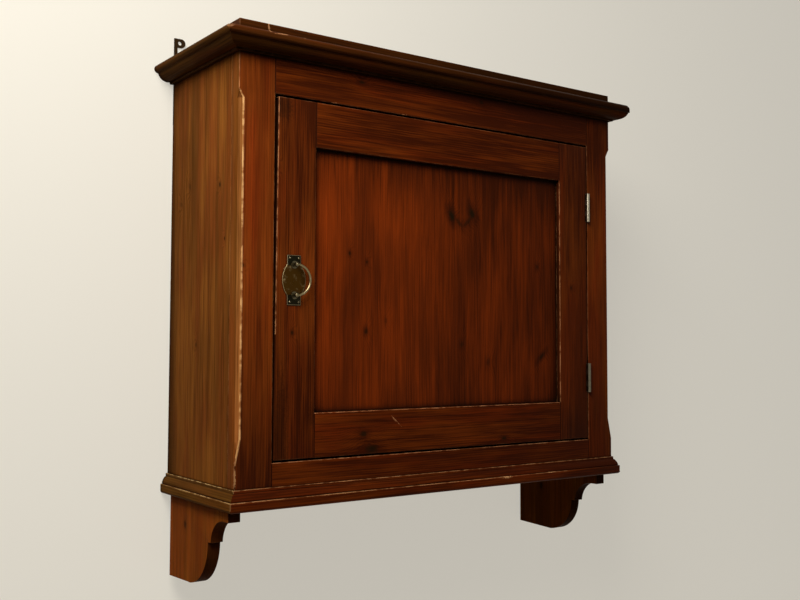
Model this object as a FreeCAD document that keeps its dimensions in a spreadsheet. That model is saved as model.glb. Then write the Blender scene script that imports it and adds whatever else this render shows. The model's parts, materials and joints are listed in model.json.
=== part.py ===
import FreeCAD, Part
import math
import os
import types

import Sketcher

# A hanging cupboard of stained pine: a boarded case with a face frame, an inset panelled door on two butt
# hinges, a mitred cornice, a moulded base and two shaped brackets below it.
# The origin is midway between the two hanging holes, on the wall plane. +X is to the right, +Z is up
# and the front faces -Y. All sizes are in millimetres.

SIZES = {
    # Case
    "case_width": 740,
    "case_depth": 230,
    "case_height": 604.5,
    "side_thickness": 19,
    "top_thickness": 20,
    "base_thickness": 14.5,
    "nose_projection": 10.8,
    "nose_top_round": 1.4,
    "nose_low_round": 4.5,
    # Back boards
    "back_thickness": 10,
    "back_rebate": 9,
    "back_lap": 7,
    "board_lap": 6,
    "board_gap": 0.5,
    # Face frame
    "frame_thickness": 22,
    "frame_stile_width": 57,
    "rail_below_cornice": 51.5,
    "rail_above_mould": 33,
    "frame_tenon_length": 35,
    "frame_tenon_thickness": 7,
    "frame_tenon_shoulder": 10,
    "corner_chamfer": 5.5,
    "chamfer_runout": 13,
    # Cornice
    "cornice_height": 27,
    "cornice_fillet_depth": 6,
    "cornice_fillet_height": 3.2,
    "ovolo_depth": 19.5,
    "ovolo_height": 11.5,
    "ovolo_rise": 4.6,
    "lip_step": 1.3,
    "lip_set_back": 0.6,
    "lip_rise": 5.2,
    # Base moulding
    "mould_height": 15.5,
    "mould_fillet_depth": 2.8,
    "mould_fillet_height": 4,
    "mould_foot_depth": 8.5,
    "mould_foot_height": 1.8,
    "mould_swell": 0.8,
    # Brackets
    "bracket_thickness": 19,
    "bracket_reach": 212,
    "bracket_fillet_depth": 19,
    "cove_height": 32.2,
    "cove_depth": 35,
    "cove_rise": 8,
    "step_height": 3.3,
    "step_depth": 8.5,
    "left_set_back": 14,
    "left_fillet_height": 16.7,
    "left_belly_height": 67.5,
    "left_heel_drop": 3,
    "right_set_back": 10.5,
    "right_fillet_height": 20.2,
    "right_belly_height": 59.3,
    "right_heel_lift": 3,
    # Shelf
    "shelf_height": 300,
    "shelf_thickness": 18,
    "shelf_set_back": 4,
    "batten_thickness": 16,
    "batten_height": 25,
    # Door stops
    "stop_thickness": 12,
    "stop_width": 20,
    "stop_overlap": 10,
    # Door
    "door_thickness": 21,
    "door_gap": 3,
    "hinge_gap": 2,
    "latch_gap_top": 6,
    "latch_gap_bottom": 2,
    "door_stile_width": 66,
    "door_top_rail": 66.5,
    "door_bottom_rail": 64,
    "door_tenon_length": 45,
    "door_tenon_shoulder": 12,
    "panel_thickness": 6,
    "panel_recess": 9,
    "panel_groove": 9,
    "panel_play": 0.8,
    # Hinges
    "leaf_height": 50,
    "leaf_width": 17,
    "leaf_thickness": 2,
    "knuckle_radius": 3,
    "knuckle_stand_off": 0.4,
    "knuckle_gap": 0.15,
    "hinge_pin_radius": 1.5,
    "hinge_pin_clearance": 0.05,
    "hinge_from_top": 87,
    "hinge_from_bottom": 83,
    "hinge_screw_length": 15,
    "hinge_screw_radius": 1.3,
    "hinge_screw_head": 2.6,
    "hinge_screw_sink": 1.5,
    # Pull
    "pull_from_frame": 32,
    "pull_below_middle": 4,
    "plate_height": 71,
    "plate_width": 22,
    "plate_belly_height": 44,
    "plate_belly": 7.7,
    "plate_thickness": 1.5,
    "plate_pin_spread": 14.2,
    "plate_pin_margin": 4.3,
    "plate_pin_head": 2,
    "plate_pin_radius": 0.9,
    "plate_pin_length": 12,
    "post_collar_radius": 5.5,
    "post_collar_thickness": 1.5,
    "post_radius": 2.8,
    "post_tail_radius": 1.8,
    "post_tail_length": 11,
    "post_head_radius": 3.6,
    "pivot_radius": 1.1,
    "pivot_clearance": 0.06,
    "eye_radius": 2.5,
    "eye_thickness": 2,
    "eye_side_clearance": 0.2,
    "eye_back_clearance": 0.4,
    "bail_stand_off": 8.4,
    "bail_radius": 21.8,
    "bail_wire_radius": 1.7,
    "bail_neck_width": 2.6,
    "bail_head_clearance": 0.6,
    # Friction spring in the latch gap
    "spring_below_pull": 17,
    "spring_length": 44,
    "spring_tab": 7,
    "spring_width": 10,
    "spring_thickness": 0.6,
    "spring_bow": 1.7,
    "spring_from_front": 2,
    "spring_pin_radius": 0.7,
    "spring_pin_length": 10,
    # Hanging plates
    "hole_rise": 20.5,
    "hang_hole_radius": 3.2,
    "hanger_thickness": 3,
    "hanger_head_width": 18,
    "hanger_head_height": 14,
    "hanger_head_rise": 6,
    "hanger_neck": 5,
    "hanger_strap_length": 90,
    "hanger_screw_length": 25,
    # Nails, brads and screws
    "nail_radius": 1.2,
    "nail_length": 45,
    "nail_set": 2,
    "back_nail_length": 25,
    "brad_radius": 0.8,
    "cornice_brad_start": 13,
    "cornice_brad_length": 30,
    "mould_brad_start": 3,
    "mould_brad_length": 18,
    "stop_brad_length": 25,
    "screw_radius": 1.8,
    "screw_head": 3.4,
    "screw_sink": 2,
    "screw_slot": 0.8,
    "batten_screw_length": 28,
    "bracket_screw_length": 40,
}
HANDS = (("left", -1), ("right", 1))
BACK_BOARDS = 5
HINGE_KNUCKLES = 5
LEAF_SCREWS = 3
QUARTER_RISE = 1 - math.sqrt(0.5)  # the rise of a quarter circle over its chord, for a radius of 1

doc = FreeCAD.newDocument("wall_cabinet")
sheet = doc.addObject("Spreadsheet::Sheet", "Sizes")
for row, (word, number) in enumerate(SIZES.items(), start=1):
    sheet.set(f"A{row}", word)
    sheet.set(f"B{row}", str(number))
    sheet.setAlias(f"B{row}", word)
doc.recompute()


class Size:
    """A length worked out from the sheet: its value now, and the formula that keeps it true."""

    def __init__(self, value, formula):
        self.value = float(value)
        self.formula = formula

    def __add__(self, other):
        other = as_size(other)
        return Size(self.value + other.value, f"({self.formula} + {other.formula})")

    def __sub__(self, other):
        other = as_size(other)
        return Size(self.value - other.value, f"({self.formula} - {other.formula})")

    def __mul__(self, other):
        other = as_size(other)
        return Size(self.value * other.value, f"({self.formula} * {other.formula})")

    def __truediv__(self, other):
        other = as_size(other)
        return Size(self.value / other.value, f"({self.formula} / {other.formula})")

    def __rsub__(self, other):
        return as_size(other) - self

    def __neg__(self):
        return 0 - self

    __radd__ = __add__
    __rmul__ = __mul__


def as_size(number):
    """A plain number as a size that never changes."""
    return number if isinstance(number, Size) else Size(number, str(float(number)))


cell = types.SimpleNamespace(**{word: Size(sheet.get(word), f"Sizes.{word}") for word in SIZES})
pieces = []


def bind(thing, setting, size):
    """Ties one setting of an object to the sheet."""
    thing.setExpression(setting, as_size(size).formula)


WAYS = {
    "+x": FreeCAD.Vector(1, 0, 0),
    "-x": FreeCAD.Vector(-1, 0, 0),
    "+y": FreeCAD.Vector(0, 1, 0),
    "-y": FreeCAD.Vector(0, -1, 0),
    "+z": FreeCAD.Vector(0, 0, 1),
    "-z": FreeCAD.Vector(0, 0, -1),
}
UP = FreeCAD.Vector(0, 0, 1)


def place(thing, at, turn=FreeCAD.Rotation()):
    """Puts an object's own origin at a point, turned as asked."""
    thing.Placement = FreeCAD.Placement(FreeCAD.Vector(), turn)
    for letter, where in zip("xyz", at):
        bind(thing, f"Placement.Base.{letter}", where)


def block(name, corner, opposite):
    """A squared board between two opposite corners."""
    box = doc.addObject("Part::Box", name)
    low = []
    for edge, first, second in zip(("Length", "Width", "Height"), corner, opposite):
        lower, upper = sorted((as_size(first), as_size(second)), key=lambda size: size.value)
        bind(box, edge, upper - lower)
        low.append(lower)
    place(box, low)
    return box


def rod(name, start, way, radius, length):
    """A round bar that starts at a point and runs one way along an axis."""
    bar = doc.addObject("Part::Cylinder", name)
    bind(bar, "Radius", radius)
    bind(bar, "Height", length)
    place(bar, start, FreeCAD.Rotation(UP, WAYS[way]))
    return bar


def ball(name, centre, radius, way="+z", half=False):
    """A ball, or the half of one that faces one way."""
    sphere = doc.addObject("Part::Sphere", name)
    bind(sphere, "Radius", radius)
    sphere.Angle1 = 0 if half else -90
    place(sphere, centre, FreeCAD.Rotation(UP, WAYS[way]))
    return sphere


def united(name, things):
    """Several shapes joined into one."""
    joined = doc.addObject("Part::MultiFuse", name)
    joined.Shapes = things
    return joined


def trimmed(name, base, tools):
    """A shape with other shapes cut out of it."""
    cut = doc.addObject("Part::Cut", name)
    cut.Base = base
    cut.Tool = tools[0] if len(tools) == 1 else united(f"{name}_cuts", tools)
    return cut


def group(name, things):
    """Separate solids that share one name."""
    together = doc.addObject("Part::Compound", name)
    together.Links = things
    return together


def piece(label, thing):
    """Keeps a finished sub-part under its own label."""
    thing.Label = label
    pieces.append(thing)
    return thing


def arc(start, finish, radius, turn):
    """The shorter arc between two points, bending left for a turn of 1 and right for -1."""
    chord = finish - start
    across = FreeCAD.Vector(-chord.y, chord.x, 0).normalize()
    apart = math.sqrt(max(radius**2 - (chord.Length / 2) ** 2, 0))
    centre = (start + finish) / 2 + across * apart * turn
    first, last = (start, finish) if turn > 0 else (finish, start)
    angles = [math.atan2(end.y - centre.y, end.x - centre.x) for end in (first, last)]
    return Part.ArcOfCircle(Part.Circle(centre, UP, radius), *angles)


def outline(body, plane, corners):
    """A closed outline on one of the body's own planes. A corner is (u, v), reached by a straight edge, or
    (u, v, rise, turn), reached by an arc that stands out from its chord by rise."""
    sketch = body.newObject("Sketcher::SketchObject", f"{body.Name}_outline")
    support = next(feature for feature in body.Origin.OriginFeatures if feature.Role == plane)
    sketch.AttachmentSupport = [(support, "")]
    sketch.MapMode = "FlatFace"
    ends = []
    radii = {}
    for index, corner in enumerate(corners):
        before = corners[index - 1]
        start, finish = (
            FreeCAD.Vector(as_size(p[0]).value, as_size(p[1]).value, 0) for p in (before, corner)
        )
        if len(corner) == 2:
            sketch.addGeometry(Part.LineSegment(start, finish), False)
            ends.append((1, 2))
            continue
        across, along = corner[0] - before[0], corner[1] - before[1]
        rise, turn = as_size(corner[2]), corner[3]
        radii[index] = (across * across + along * along) / (8 * rise) + rise / 2
        sketch.addGeometry(arc(start, finish, radii[index].value, turn), False)
        ends.append((1, 2) if turn > 0 else (2, 1))
    for index, corner in enumerate(corners):
        after = (index + 1) % len(corners)
        finish = ends[index][1]
        sketch.addConstraint(Sketcher.Constraint("Coincident", index, finish, after, ends[after][0]))
        for kind, where in zip(("DistanceX", "DistanceY"), corner):
            rule = Sketcher.Constraint(kind, -1, 1, index, finish, as_size(where).value)
            bind(sketch, f"Constraints[{sketch.addConstraint(rule)}]", where)
        if index in radii:
            rule = Sketcher.Constraint("Radius", index, radii[index].value)
            bind(sketch, f"Constraints[{sketch.addConstraint(rule)}]", radii[index])
    return sketch


def sawn(name, plane, corners, start, length):
    """A board sawn to an outline: on YZ_Plane from x = start to +X, on XZ_Plane from y = start to -Y."""
    body = doc.addObject("PartDesign::Body", name)
    pad = body.newObject("PartDesign::Pad", f"{name}_pad")
    pad.Profile = outline(body, plane, corners)
    bind(pad, "Length", length)
    body.Tip = pad
    place(body, (start, 0, 0) if plane == "YZ_Plane" else (0, start, 0))
    return body


def screw(name, at, way, shank, head, sink, length):
    """A countersunk slotted screw with its head flush at a point: the screw, and its blank for the hole."""
    cone = doc.addObject("Part::Cone", f"{name}_head")
    bind(cone, "Radius1", head)
    bind(cone, "Radius2", shank)
    bind(cone, "Height", sink)
    place(cone, at, FreeCAD.Rotation(UP, WAYS[way]))
    blank = united(f"{name}_blank", [cone, rod(f"{name}_shank", at, way, shank, length)])
    axis = "xyz".index(way[1])
    inwards = 1 if way[0] == "+" else -1
    along, across = [other for other in (2, 0, 1) if other != axis]
    low, high = [list(at), list(at)]
    high[axis] = at[axis] + inwards * cell.screw_slot
    low[along], high[along] = at[along] - head, at[along] + head
    low[across], high[across] = at[across] - cell.screw_slot / 2, at[across] + cell.screw_slot / 2
    return trimmed(name, blank, [block(f"{name}_slot", low, high)]), blank


def wood_screw(name, at, way, length):
    """The larger screw, used in the case."""
    return screw(name, at, way, cell.screw_radius, cell.screw_head, cell.screw_sink, length)


def hinge_screw(name, at, way):
    """The small screw of a hinge leaf."""
    shank, head, sink = cell.hinge_screw_radius, cell.hinge_screw_head, cell.hinge_screw_sink
    return screw(name, at, way, shank, head, sink, cell.hinge_screw_length)


def spaced(low, high, count):
    """Places spread evenly between two ends, half a step in from each."""
    return [low + (high - low) * ((2 * step + 1) / (2 * count)) for step in range(count)]


# The main lines of the case
left, right = -cell.case_width / 2, cell.case_width / 2
front = -cell.case_depth
frame_back = front + cell.frame_thickness
roof_top = -cell.hole_rise
roof_under = roof_top - cell.top_thickness
case_top = roof_under - cell.cornice_height
case_bottom = case_top - cell.case_height
base_top = case_bottom - cell.mould_height
base_under = base_top - cell.base_thickness
back_face = -cell.back_thickness
opening_left, opening_right = left + cell.frame_stile_width, right - cell.frame_stile_width
opening_top, opening_bottom = case_top - cell.rail_below_cornice, case_bottom + cell.rail_above_mould
strap_width = cell.side_thickness - cell.back_rebate


def from_side(sign, distance):
    """The x of a place at some distance inwards from the outer face of one side."""
    return sign * (cell.case_width / 2 - distance)


def inwards(sign):
    """The way from one side towards the middle of the case."""
    return "-x" if sign > 0 else "+x"


def outwards(sign):
    """The way from the middle of the case towards one side."""
    return "+x" if sign > 0 else "-x"


# The main lines of the door
door_low, door_high = opening_bottom + cell.door_gap, opening_top - cell.door_gap
door_right = opening_right - cell.hinge_gap
door_back = front + cell.door_thickness
panel_left = opening_left + cell.latch_gap_bottom + cell.door_stile_width
panel_right = door_right - cell.door_stile_width
panel_low, panel_high = door_low + cell.door_bottom_rail, door_high - cell.door_top_rail
panel_face = front + cell.panel_recess
panel_back = panel_face + cell.panel_thickness
shelf_under = base_top + cell.shelf_height
shelf_front = frame_back + cell.stop_thickness + cell.shelf_set_back
pull_x = opening_left + cell.pull_from_frame
pull_z = (opening_top + opening_bottom) / 2 - cell.pull_below_middle
plate_face = front - cell.plate_thickness
bail_y = plate_face - cell.bail_stand_off
hinge_x = opening_right - cell.hinge_gap / 2
hinge_y = front - cell.knuckle_radius - cell.knuckle_stand_off
HINGES = (
    ("upper", opening_top - cell.hinge_from_top - cell.leaf_height),
    ("lower", opening_bottom + cell.hinge_from_bottom),
)

# Nails and screws come first, because every board that one passes through is bored by it
side_depths = spaced(frame_back, as_size(0), 3)
rail_places = spaced(opening_left, opening_right, 3)
brad_places = spaced(opening_left, opening_right, 4)
side_brad_depths = [frame_back * share for share in (1 / 3, 2 / 3)]
side_middles = [from_side(sign, cell.side_thickness / 2) for hand, sign in HANDS]
rail_middle = front + cell.frame_thickness / 2


def board_nails(label, level, way):
    """Nails through the top or the base, into both sides and the rail of the face frame."""
    places = [(x, y, level) for x in side_middles for y in side_depths]
    places += [(x, rail_middle, level) for x in rail_places]
    nails = [
        rod(f"{label}_{count}", at, way, cell.nail_radius, cell.nail_length)
        for count, at in enumerate(places, start=1)
    ]
    return piece(label, group(label, nails))


def moulding_brads(label, level, start, length):
    """Brads through a moulding, into the face frame and both sides."""
    brads = [
        rod(f"{label}_front_{count}", (x, front - start, level), "+y", cell.brad_radius, length)
        for count, x in enumerate(brad_places, start=1)
    ]
    for hand, sign in HANDS:
        for count, y in enumerate(side_brad_depths, start=1):
            at = (from_side(sign, -start), y, level)
            brads.append(rod(f"{label}_{hand}_{count}", at, inwards(sign), cell.brad_radius, length))
    return piece(label, group(label, brads))


top_nails = board_nails("top_nails", roof_top, "-z")
base_nails = board_nails("base_nails", base_under, "+z")
cornice_brads = moulding_brads(
    "cornice_brads", case_top + cell.cornice_height / 2, cell.cornice_brad_start, cell.cornice_brad_length
)
mould_brads = moulding_brads(
    "base_mould_brads", base_top + cell.mould_height / 2, cell.mould_brad_start, cell.mould_brad_length
)
nail_start = front + cell.nail_set
frame_nails = piece(
    "frame_nails",
    group(
        "frame_nails",
        [
            rod(f"frame_nail_{hand}_{count}", (x, nail_start, z), "+y", cell.nail_radius, cell.nail_length)
            for (hand, sign), x in zip(HANDS, side_middles)
            for count, z in enumerate(spaced(case_bottom, case_top, 4), start=1)
        ],
    ),
)
boards_left, boards_right = from_side(-1, strap_width), from_side(1, strap_width)
board_pitch = (boards_right - boards_left) / BACK_BOARDS
back_nails = piece(
    "back_nails",
    group(
        "back_nails",
        [
            rod(f"back_nail_{end}_{count}", (x, 0, z), "-y", cell.nail_radius, cell.back_nail_length)
            for end, z in (("low", base_top - cell.back_lap / 2), ("high", roof_under + cell.back_lap / 2))
            for count, x in enumerate(spaced(boards_left, boards_right, 2 * BACK_BOARDS), start=1)
        ],
    ),
)


def screw_group(label, pairs):
    """Screws kept as one node, and their blanks kept for the holes."""
    piece(label, group(label, [driven for driven, blank in pairs]))
    return group(f"{label}_holes", [blank for driven, blank in pairs])


batten_inner = cell.side_thickness + cell.batten_thickness
batten_middle = shelf_under - cell.batten_height / 2
batten_screw_holes = screw_group(
    "batten_screws",
    [
        wood_screw(
            f"batten_screw_{hand}_{count}",
            (from_side(sign, batten_inner), y, batten_middle),
            outwards(sign),
            cell.batten_screw_length,
        )
        for hand, sign in HANDS
        for count, y in enumerate(spaced(shelf_front, back_face, 2), start=1)
    ],
)
bracket_screw_depths = [(side_depths[step] + side_depths[step + 1]) / 2 for step in range(2)]
bracket_screw_holes = screw_group(
    "bracket_screws",
    [
        wood_screw(
            f"bracket_screw_{hand}_{count}",
            (from_side(sign, cell.bracket_thickness / 2), y, base_top),
            "-z",
            cell.bracket_screw_length,
        )
        for hand, sign in HANDS
        for count, y in enumerate(bracket_screw_depths, start=1)
    ],
)
hanger_screw_holes = screw_group(
    "hanger_screws",
    [
        wood_screw(
            f"hanger_screw_{hand}_{count}",
            (from_side(sign, strap_width / 2), as_size(0), z),
            "-y",
            cell.hanger_screw_length,
        )
        for hand, sign in HANDS
        for count, z in enumerate(spaced(roof_under - cell.hanger_strap_length, roof_under, 2), start=1)
    ],
)
leaf_middle = front + cell.leaf_width / 2
leaf_screw_places = [
    (f"{hinge}_{count}", z)
    for hinge, low in HINGES
    for count, z in enumerate(spaced(low, low + cell.leaf_height, LEAF_SCREWS), start=1)
]
frame_hinge_holes = screw_group(
    "frame_hinge_screws",
    [
        hinge_screw(f"frame_hinge_screw_{name}", (opening_right, leaf_middle, z), "+x")
        for name, z in leaf_screw_places
    ],
)
door_hinge_holes = screw_group(
    "door_hinge_screws",
    [
        hinge_screw(f"door_hinge_screw_{name}", (door_right, leaf_middle, z), "-x")
        for name, z in leaf_screw_places
    ],
)

# Door stops, nailed behind the face frame
stop_back = frame_back + cell.stop_thickness
stop_hidden = cell.stop_width - cell.stop_overlap
stop_brads = piece(
    "stop_brads",
    group(
        "stop_brads",
        [
            rod(f"stop_brad_left_{count}", (opening_left - stop_hidden / 2, stop_back, z), "-y",
                cell.brad_radius, cell.stop_brad_length)
            for count, z in enumerate(spaced(opening_bottom, opening_top, 3), start=1)
        ]
        + [
            rod(f"stop_brad_top_{count}", (x, stop_back, opening_top + stop_hidden / 2), "-y",
                cell.brad_radius, cell.stop_brad_length)
            for count, x in enumerate(brad_places, start=1)
        ],
    ),
)
stop_left_low = (opening_left - stop_hidden, frame_back, opening_bottom)
stop_left_high = (opening_left + cell.stop_overlap, stop_back, opening_top + stop_hidden)
stop_left = block("stop_left_strip", stop_left_low, stop_left_high)
piece("door_stop_left", trimmed("door_stop_left", stop_left, [stop_brads]))
stop_top_low = (opening_left + cell.stop_overlap, frame_back, opening_top - cell.stop_overlap)
stop_top_high = (opening_right, stop_back, opening_top + stop_hidden)
stop_top = block("stop_top_strip", stop_top_low, stop_top_high)
piece("door_stop_top", trimmed("door_stop_top", stop_top, [stop_brads]))

# Hanging plates, let into the back edges of the sides and the top
hanger_outlines = {}
for hand, sign in HANDS:
    strap_end = roof_under - cell.hanger_strap_length
    edge, strap_edge = from_side(sign, 0), from_side(sign, strap_width)
    neck_edge = from_side(sign, cell.hanger_neck)
    head_edge = from_side(sign, cell.hanger_head_width - cell.hanger_head_rise)
    head_high, head_low = cell.hanger_head_height / 2, -cell.hanger_head_height / 2
    corners = [
        (edge, strap_end),
        (strap_edge, strap_end),
        (strap_edge, roof_top),
        (neck_edge, roof_top),
        (neck_edge, head_low),
        (head_edge, head_low),
        (head_edge, head_high, cell.hanger_head_rise, -sign),
        (edge, head_high),
    ]
    plate = sawn(f"hanger_{hand}_blank", "XZ_Plane", corners, 0, cell.hanger_thickness)
    hole_at = (from_side(sign, cell.hanger_head_width / 2), 0, 0)
    hole = rod(f"hanger_{hand}_hole", hole_at, "-y", cell.hang_hole_radius, cell.hanger_thickness)
    hanger_outlines[hand] = plate
    piece(f"hanging_plate_{hand}", trimmed(f"hanging_plate_{hand}", plate, [hole, hanger_screw_holes]))

# Case: sides, top and base
for hand, sign in HANDS:
    outer, inner = from_side(sign, 0), from_side(sign, cell.side_thickness)
    board = block(f"side_{hand}_board", (outer, frame_back, base_top), (inner, 0, roof_under))
    rebate = block(
        f"side_{hand}_rebate", (inner, back_face, base_top), (from_side(sign, strap_width), 0, roof_under)
    )
    nailed = [top_nails, base_nails, cornice_brads, mould_brads, frame_nails]
    screwed = [batten_screw_holes, hanger_screw_holes]
    piece(f"side_{hand}", trimmed(f"side_{hand}", board, [rebate, hanger_outlines[hand], *nailed, *screwed]))

top_blank = block("top_blank", (left, front, roof_under), (right, 0, roof_top))
top_rebate = block(
    "top_rebate", (boards_left, back_face, roof_under), (boards_right, 0, roof_under + cell.back_lap)
)
hangers = list(hanger_outlines.values())
piece("top_board", trimmed("top_board", top_blank, [top_rebate, *hangers, top_nails, back_nails]))

nose_left, nose_right = left - cell.nose_projection, right + cell.nose_projection
nose_front = front - cell.nose_projection
nose_high, nose_low = base_top - cell.nose_top_round, base_under + cell.nose_low_round
high_rise, low_rise = cell.nose_top_round * QUARTER_RISE, cell.nose_low_round * QUARTER_RISE
base_run = sawn(
    "base_front_nosing",
    "YZ_Plane",
    [
        (0, base_under),
        (0, base_top),
        (nose_front + cell.nose_top_round, base_top),
        (nose_front, nose_high, high_rise, 1),
        (nose_front, nose_low),
        (nose_front + cell.nose_low_round, base_under, low_rise, 1),
    ],
    nose_left,
    nose_right - nose_left,
)
base_ends = sawn(
    "base_end_nosing",
    "XZ_Plane",
    [
        (nose_right - cell.nose_low_round, base_under),
        (nose_right, nose_low, low_rise, 1),
        (nose_right, nose_high),
        (nose_right - cell.nose_top_round, base_top, high_rise, 1),
        (nose_left + cell.nose_top_round, base_top),
        (nose_left, nose_high, high_rise, 1),
        (nose_left, nose_low),
        (nose_left + cell.nose_low_round, base_under, low_rise, 1),
    ],
    0,
    -nose_front,
)
base_blank = doc.addObject("Part::Common", "base_blank")
base_blank.Base = base_run
base_blank.Tool = base_ends
base_rebate = block(
    "base_rebate", (boards_left, back_face, base_top - cell.back_lap), (boards_right, 0, base_top)
)
base_cuts = [base_rebate, base_nails, bracket_screw_holes, back_nails]
piece("base_board", trimmed("base_board", base_blank, base_cuts))

# Back boards, lapped edge over edge
board_low, board_high = base_top - cell.back_lap, roof_under + cell.back_lap
lap_face = back_face / 2
for count in range(1, BACK_BOARDS + 1):
    name = f"back_board_{count}"
    is_first, is_last = count == 1, count == BACK_BOARDS
    start = boards_left + board_pitch * (count - 1) + (0 if is_first else cell.board_gap / 2)
    stop = boards_left + board_pitch * count - (0 if is_last else cell.board_gap / 2)
    board = block(f"{name}_blank", (start, back_face, board_low), (stop, 0, board_high))
    if not is_last:
        tongue = block(
            f"{name}_tongue", (stop, back_face, board_low), (stop + cell.board_lap, lap_face, board_high)
        )
        board = united(f"{name}_tongued", [board, tongue])
    cuts = [back_nails]
    if not is_first:
        rebate_stop = start + cell.board_lap
        cuts.append(
            block(f"{name}_rebate", (start, back_face, board_low), (rebate_stop, lap_face, board_high))
        )
    piece(name, trimmed(name, board, cuts))

# Shelf on two battens
for hand, sign in HANDS:
    batten_low = (from_side(sign, cell.side_thickness), shelf_front, shelf_under - cell.batten_height)
    batten_high = (from_side(sign, cell.side_thickness + cell.batten_thickness), back_face, shelf_under)
    batten = block(f"batten_{hand}_blank", batten_low, batten_high)
    piece(f"shelf_batten_{hand}", trimmed(f"shelf_batten_{hand}", batten, [batten_screw_holes]))
shelf_low = (from_side(-1, cell.side_thickness), shelf_front, shelf_under)
shelf_high = (from_side(1, cell.side_thickness), back_face, shelf_under + cell.shelf_thickness)
piece("shelf", block("shelf", shelf_low, shelf_high))

# Face frame: rails tenoned into stiles
frame_tenon_front = rail_middle - cell.frame_tenon_thickness / 2
frame_tenon_back = rail_middle + cell.frame_tenon_thickness / 2
FRAME_RAILS = (("top", opening_top, roof_under), ("bottom", base_top, opening_bottom))


def frame_tenon(name, sign, low, high):
    """The tenon of a face-frame rail in one stile, which is also the shape of its mortise."""
    shoulder = from_side(sign, cell.frame_stile_width)
    tip = from_side(sign, cell.frame_stile_width - cell.frame_tenon_length)
    inset = cell.frame_tenon_shoulder
    return block(name, (shoulder, frame_tenon_front, low + inset), (tip, frame_tenon_back, high - inset))


for end, low, high in FRAME_RAILS:
    rail = block(f"frame_rail_{end}_blank", (opening_left, front, low), (opening_right, frame_back, high))
    tenons = [frame_tenon(f"frame_rail_{end}_tenon_{hand}", sign, low, high) for hand, sign in HANDS]
    whole = united(f"frame_rail_{end}_whole", [rail, *tenons])
    driven = [top_nails, cornice_brads, stop_brads] if end == "top" else [base_nails, mould_brads]
    piece(f"face_rail_{end}", trimmed(f"face_rail_{end}", whole, driven))

# Friction spring on the edge of the latch stile, bowed into the gap
spring_middle = pull_z - cell.spring_below_pull
spring_low, spring_high = spring_middle - cell.spring_length / 2, spring_middle + cell.spring_length / 2
spring_face = opening_left + cell.spring_thickness
spring_back = front + cell.spring_from_front + cell.spring_width
bow_low, bow_high = spring_low + cell.spring_tab, spring_high - cell.spring_tab
spring_strip = sawn(
    "friction_spring_strip",
    "XZ_Plane",
    [
        (opening_left, spring_low),
        (spring_face, spring_low),
        (spring_face, bow_low),
        (spring_face, bow_high, cell.spring_bow, 1),
        (spring_face, spring_high),
        (opening_left, spring_high),
        (opening_left, bow_high),
        (opening_left, bow_low, cell.spring_bow, -1),
    ],
    spring_back,
    cell.spring_width,
)
spring_pins = piece(
    "spring_pins",
    group(
        "spring_pins",
        [
            rod(f"spring_pin_{end}", (spring_face, spring_back - cell.spring_width / 2, z), "-x",
                cell.spring_pin_radius, cell.spring_pin_length)
            for end, z in (("low", (spring_low + bow_low) / 2), ("high", (spring_high + bow_high) / 2))
        ],
    ),
)
piece("friction_spring", trimmed("friction_spring", spring_strip, [spring_pins]))


def leaf_gain(name, sign, low):
    """The plate of a hinge leaf, also the shape of its gain. The sign is 1 on the frame, -1 on the door."""
    face = hinge_x + sign * cell.hinge_gap / 2
    back = face + sign * cell.leaf_thickness
    return block(name, (face, front, low), (back, front + cell.leaf_width, low + cell.leaf_height))


def chamfer_cutter(hand, sign):
    """The wedge that a stopped chamfer takes off an outer corner: set out on the diagonal of the corner."""
    body = doc.addObject("PartDesign::Body", f"chamfer_{hand}")
    pad = body.newObject("PartDesign::Pad", f"chamfer_{hand}_pad")
    pad.Profile = outline(
        body,
        "XZ_Plane",
        [
            (0, opening_bottom),
            (cell.corner_chamfer, opening_bottom + cell.chamfer_runout),
            (cell.corner_chamfer, opening_top - cell.chamfer_runout),
            (0, opening_top),
        ],
    )
    pad.SideType = "Symmetric"
    bind(pad, "Length", cell.corner_chamfer * 3)
    body.Tip = pad
    place(body, (from_side(sign, 0), front, 0), FreeCAD.Rotation(UP, 90 + sign * 45))
    return body


for hand, sign in HANDS:
    stile = block(
        f"frame_stile_{hand}_blank",
        (from_side(sign, 0), front, base_top),
        (from_side(sign, cell.frame_stile_width), frame_back, roof_under),
    )
    cuts = [frame_tenon(f"frame_mortise_{end}_{hand}", sign, low, high) for end, low, high in FRAME_RAILS]
    cuts += [chamfer_cutter(hand, sign), frame_nails]
    if hand == "left":
        cuts += [stop_brads, spring_pins]
    else:
        cuts += [leaf_gain(f"frame_gain_{hinge}", 1, low) for hinge, low in HINGES]
        cuts.append(frame_hinge_holes)
    piece(f"face_stile_{hand}", trimmed(f"face_stile_{hand}", stile, cuts))


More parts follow.
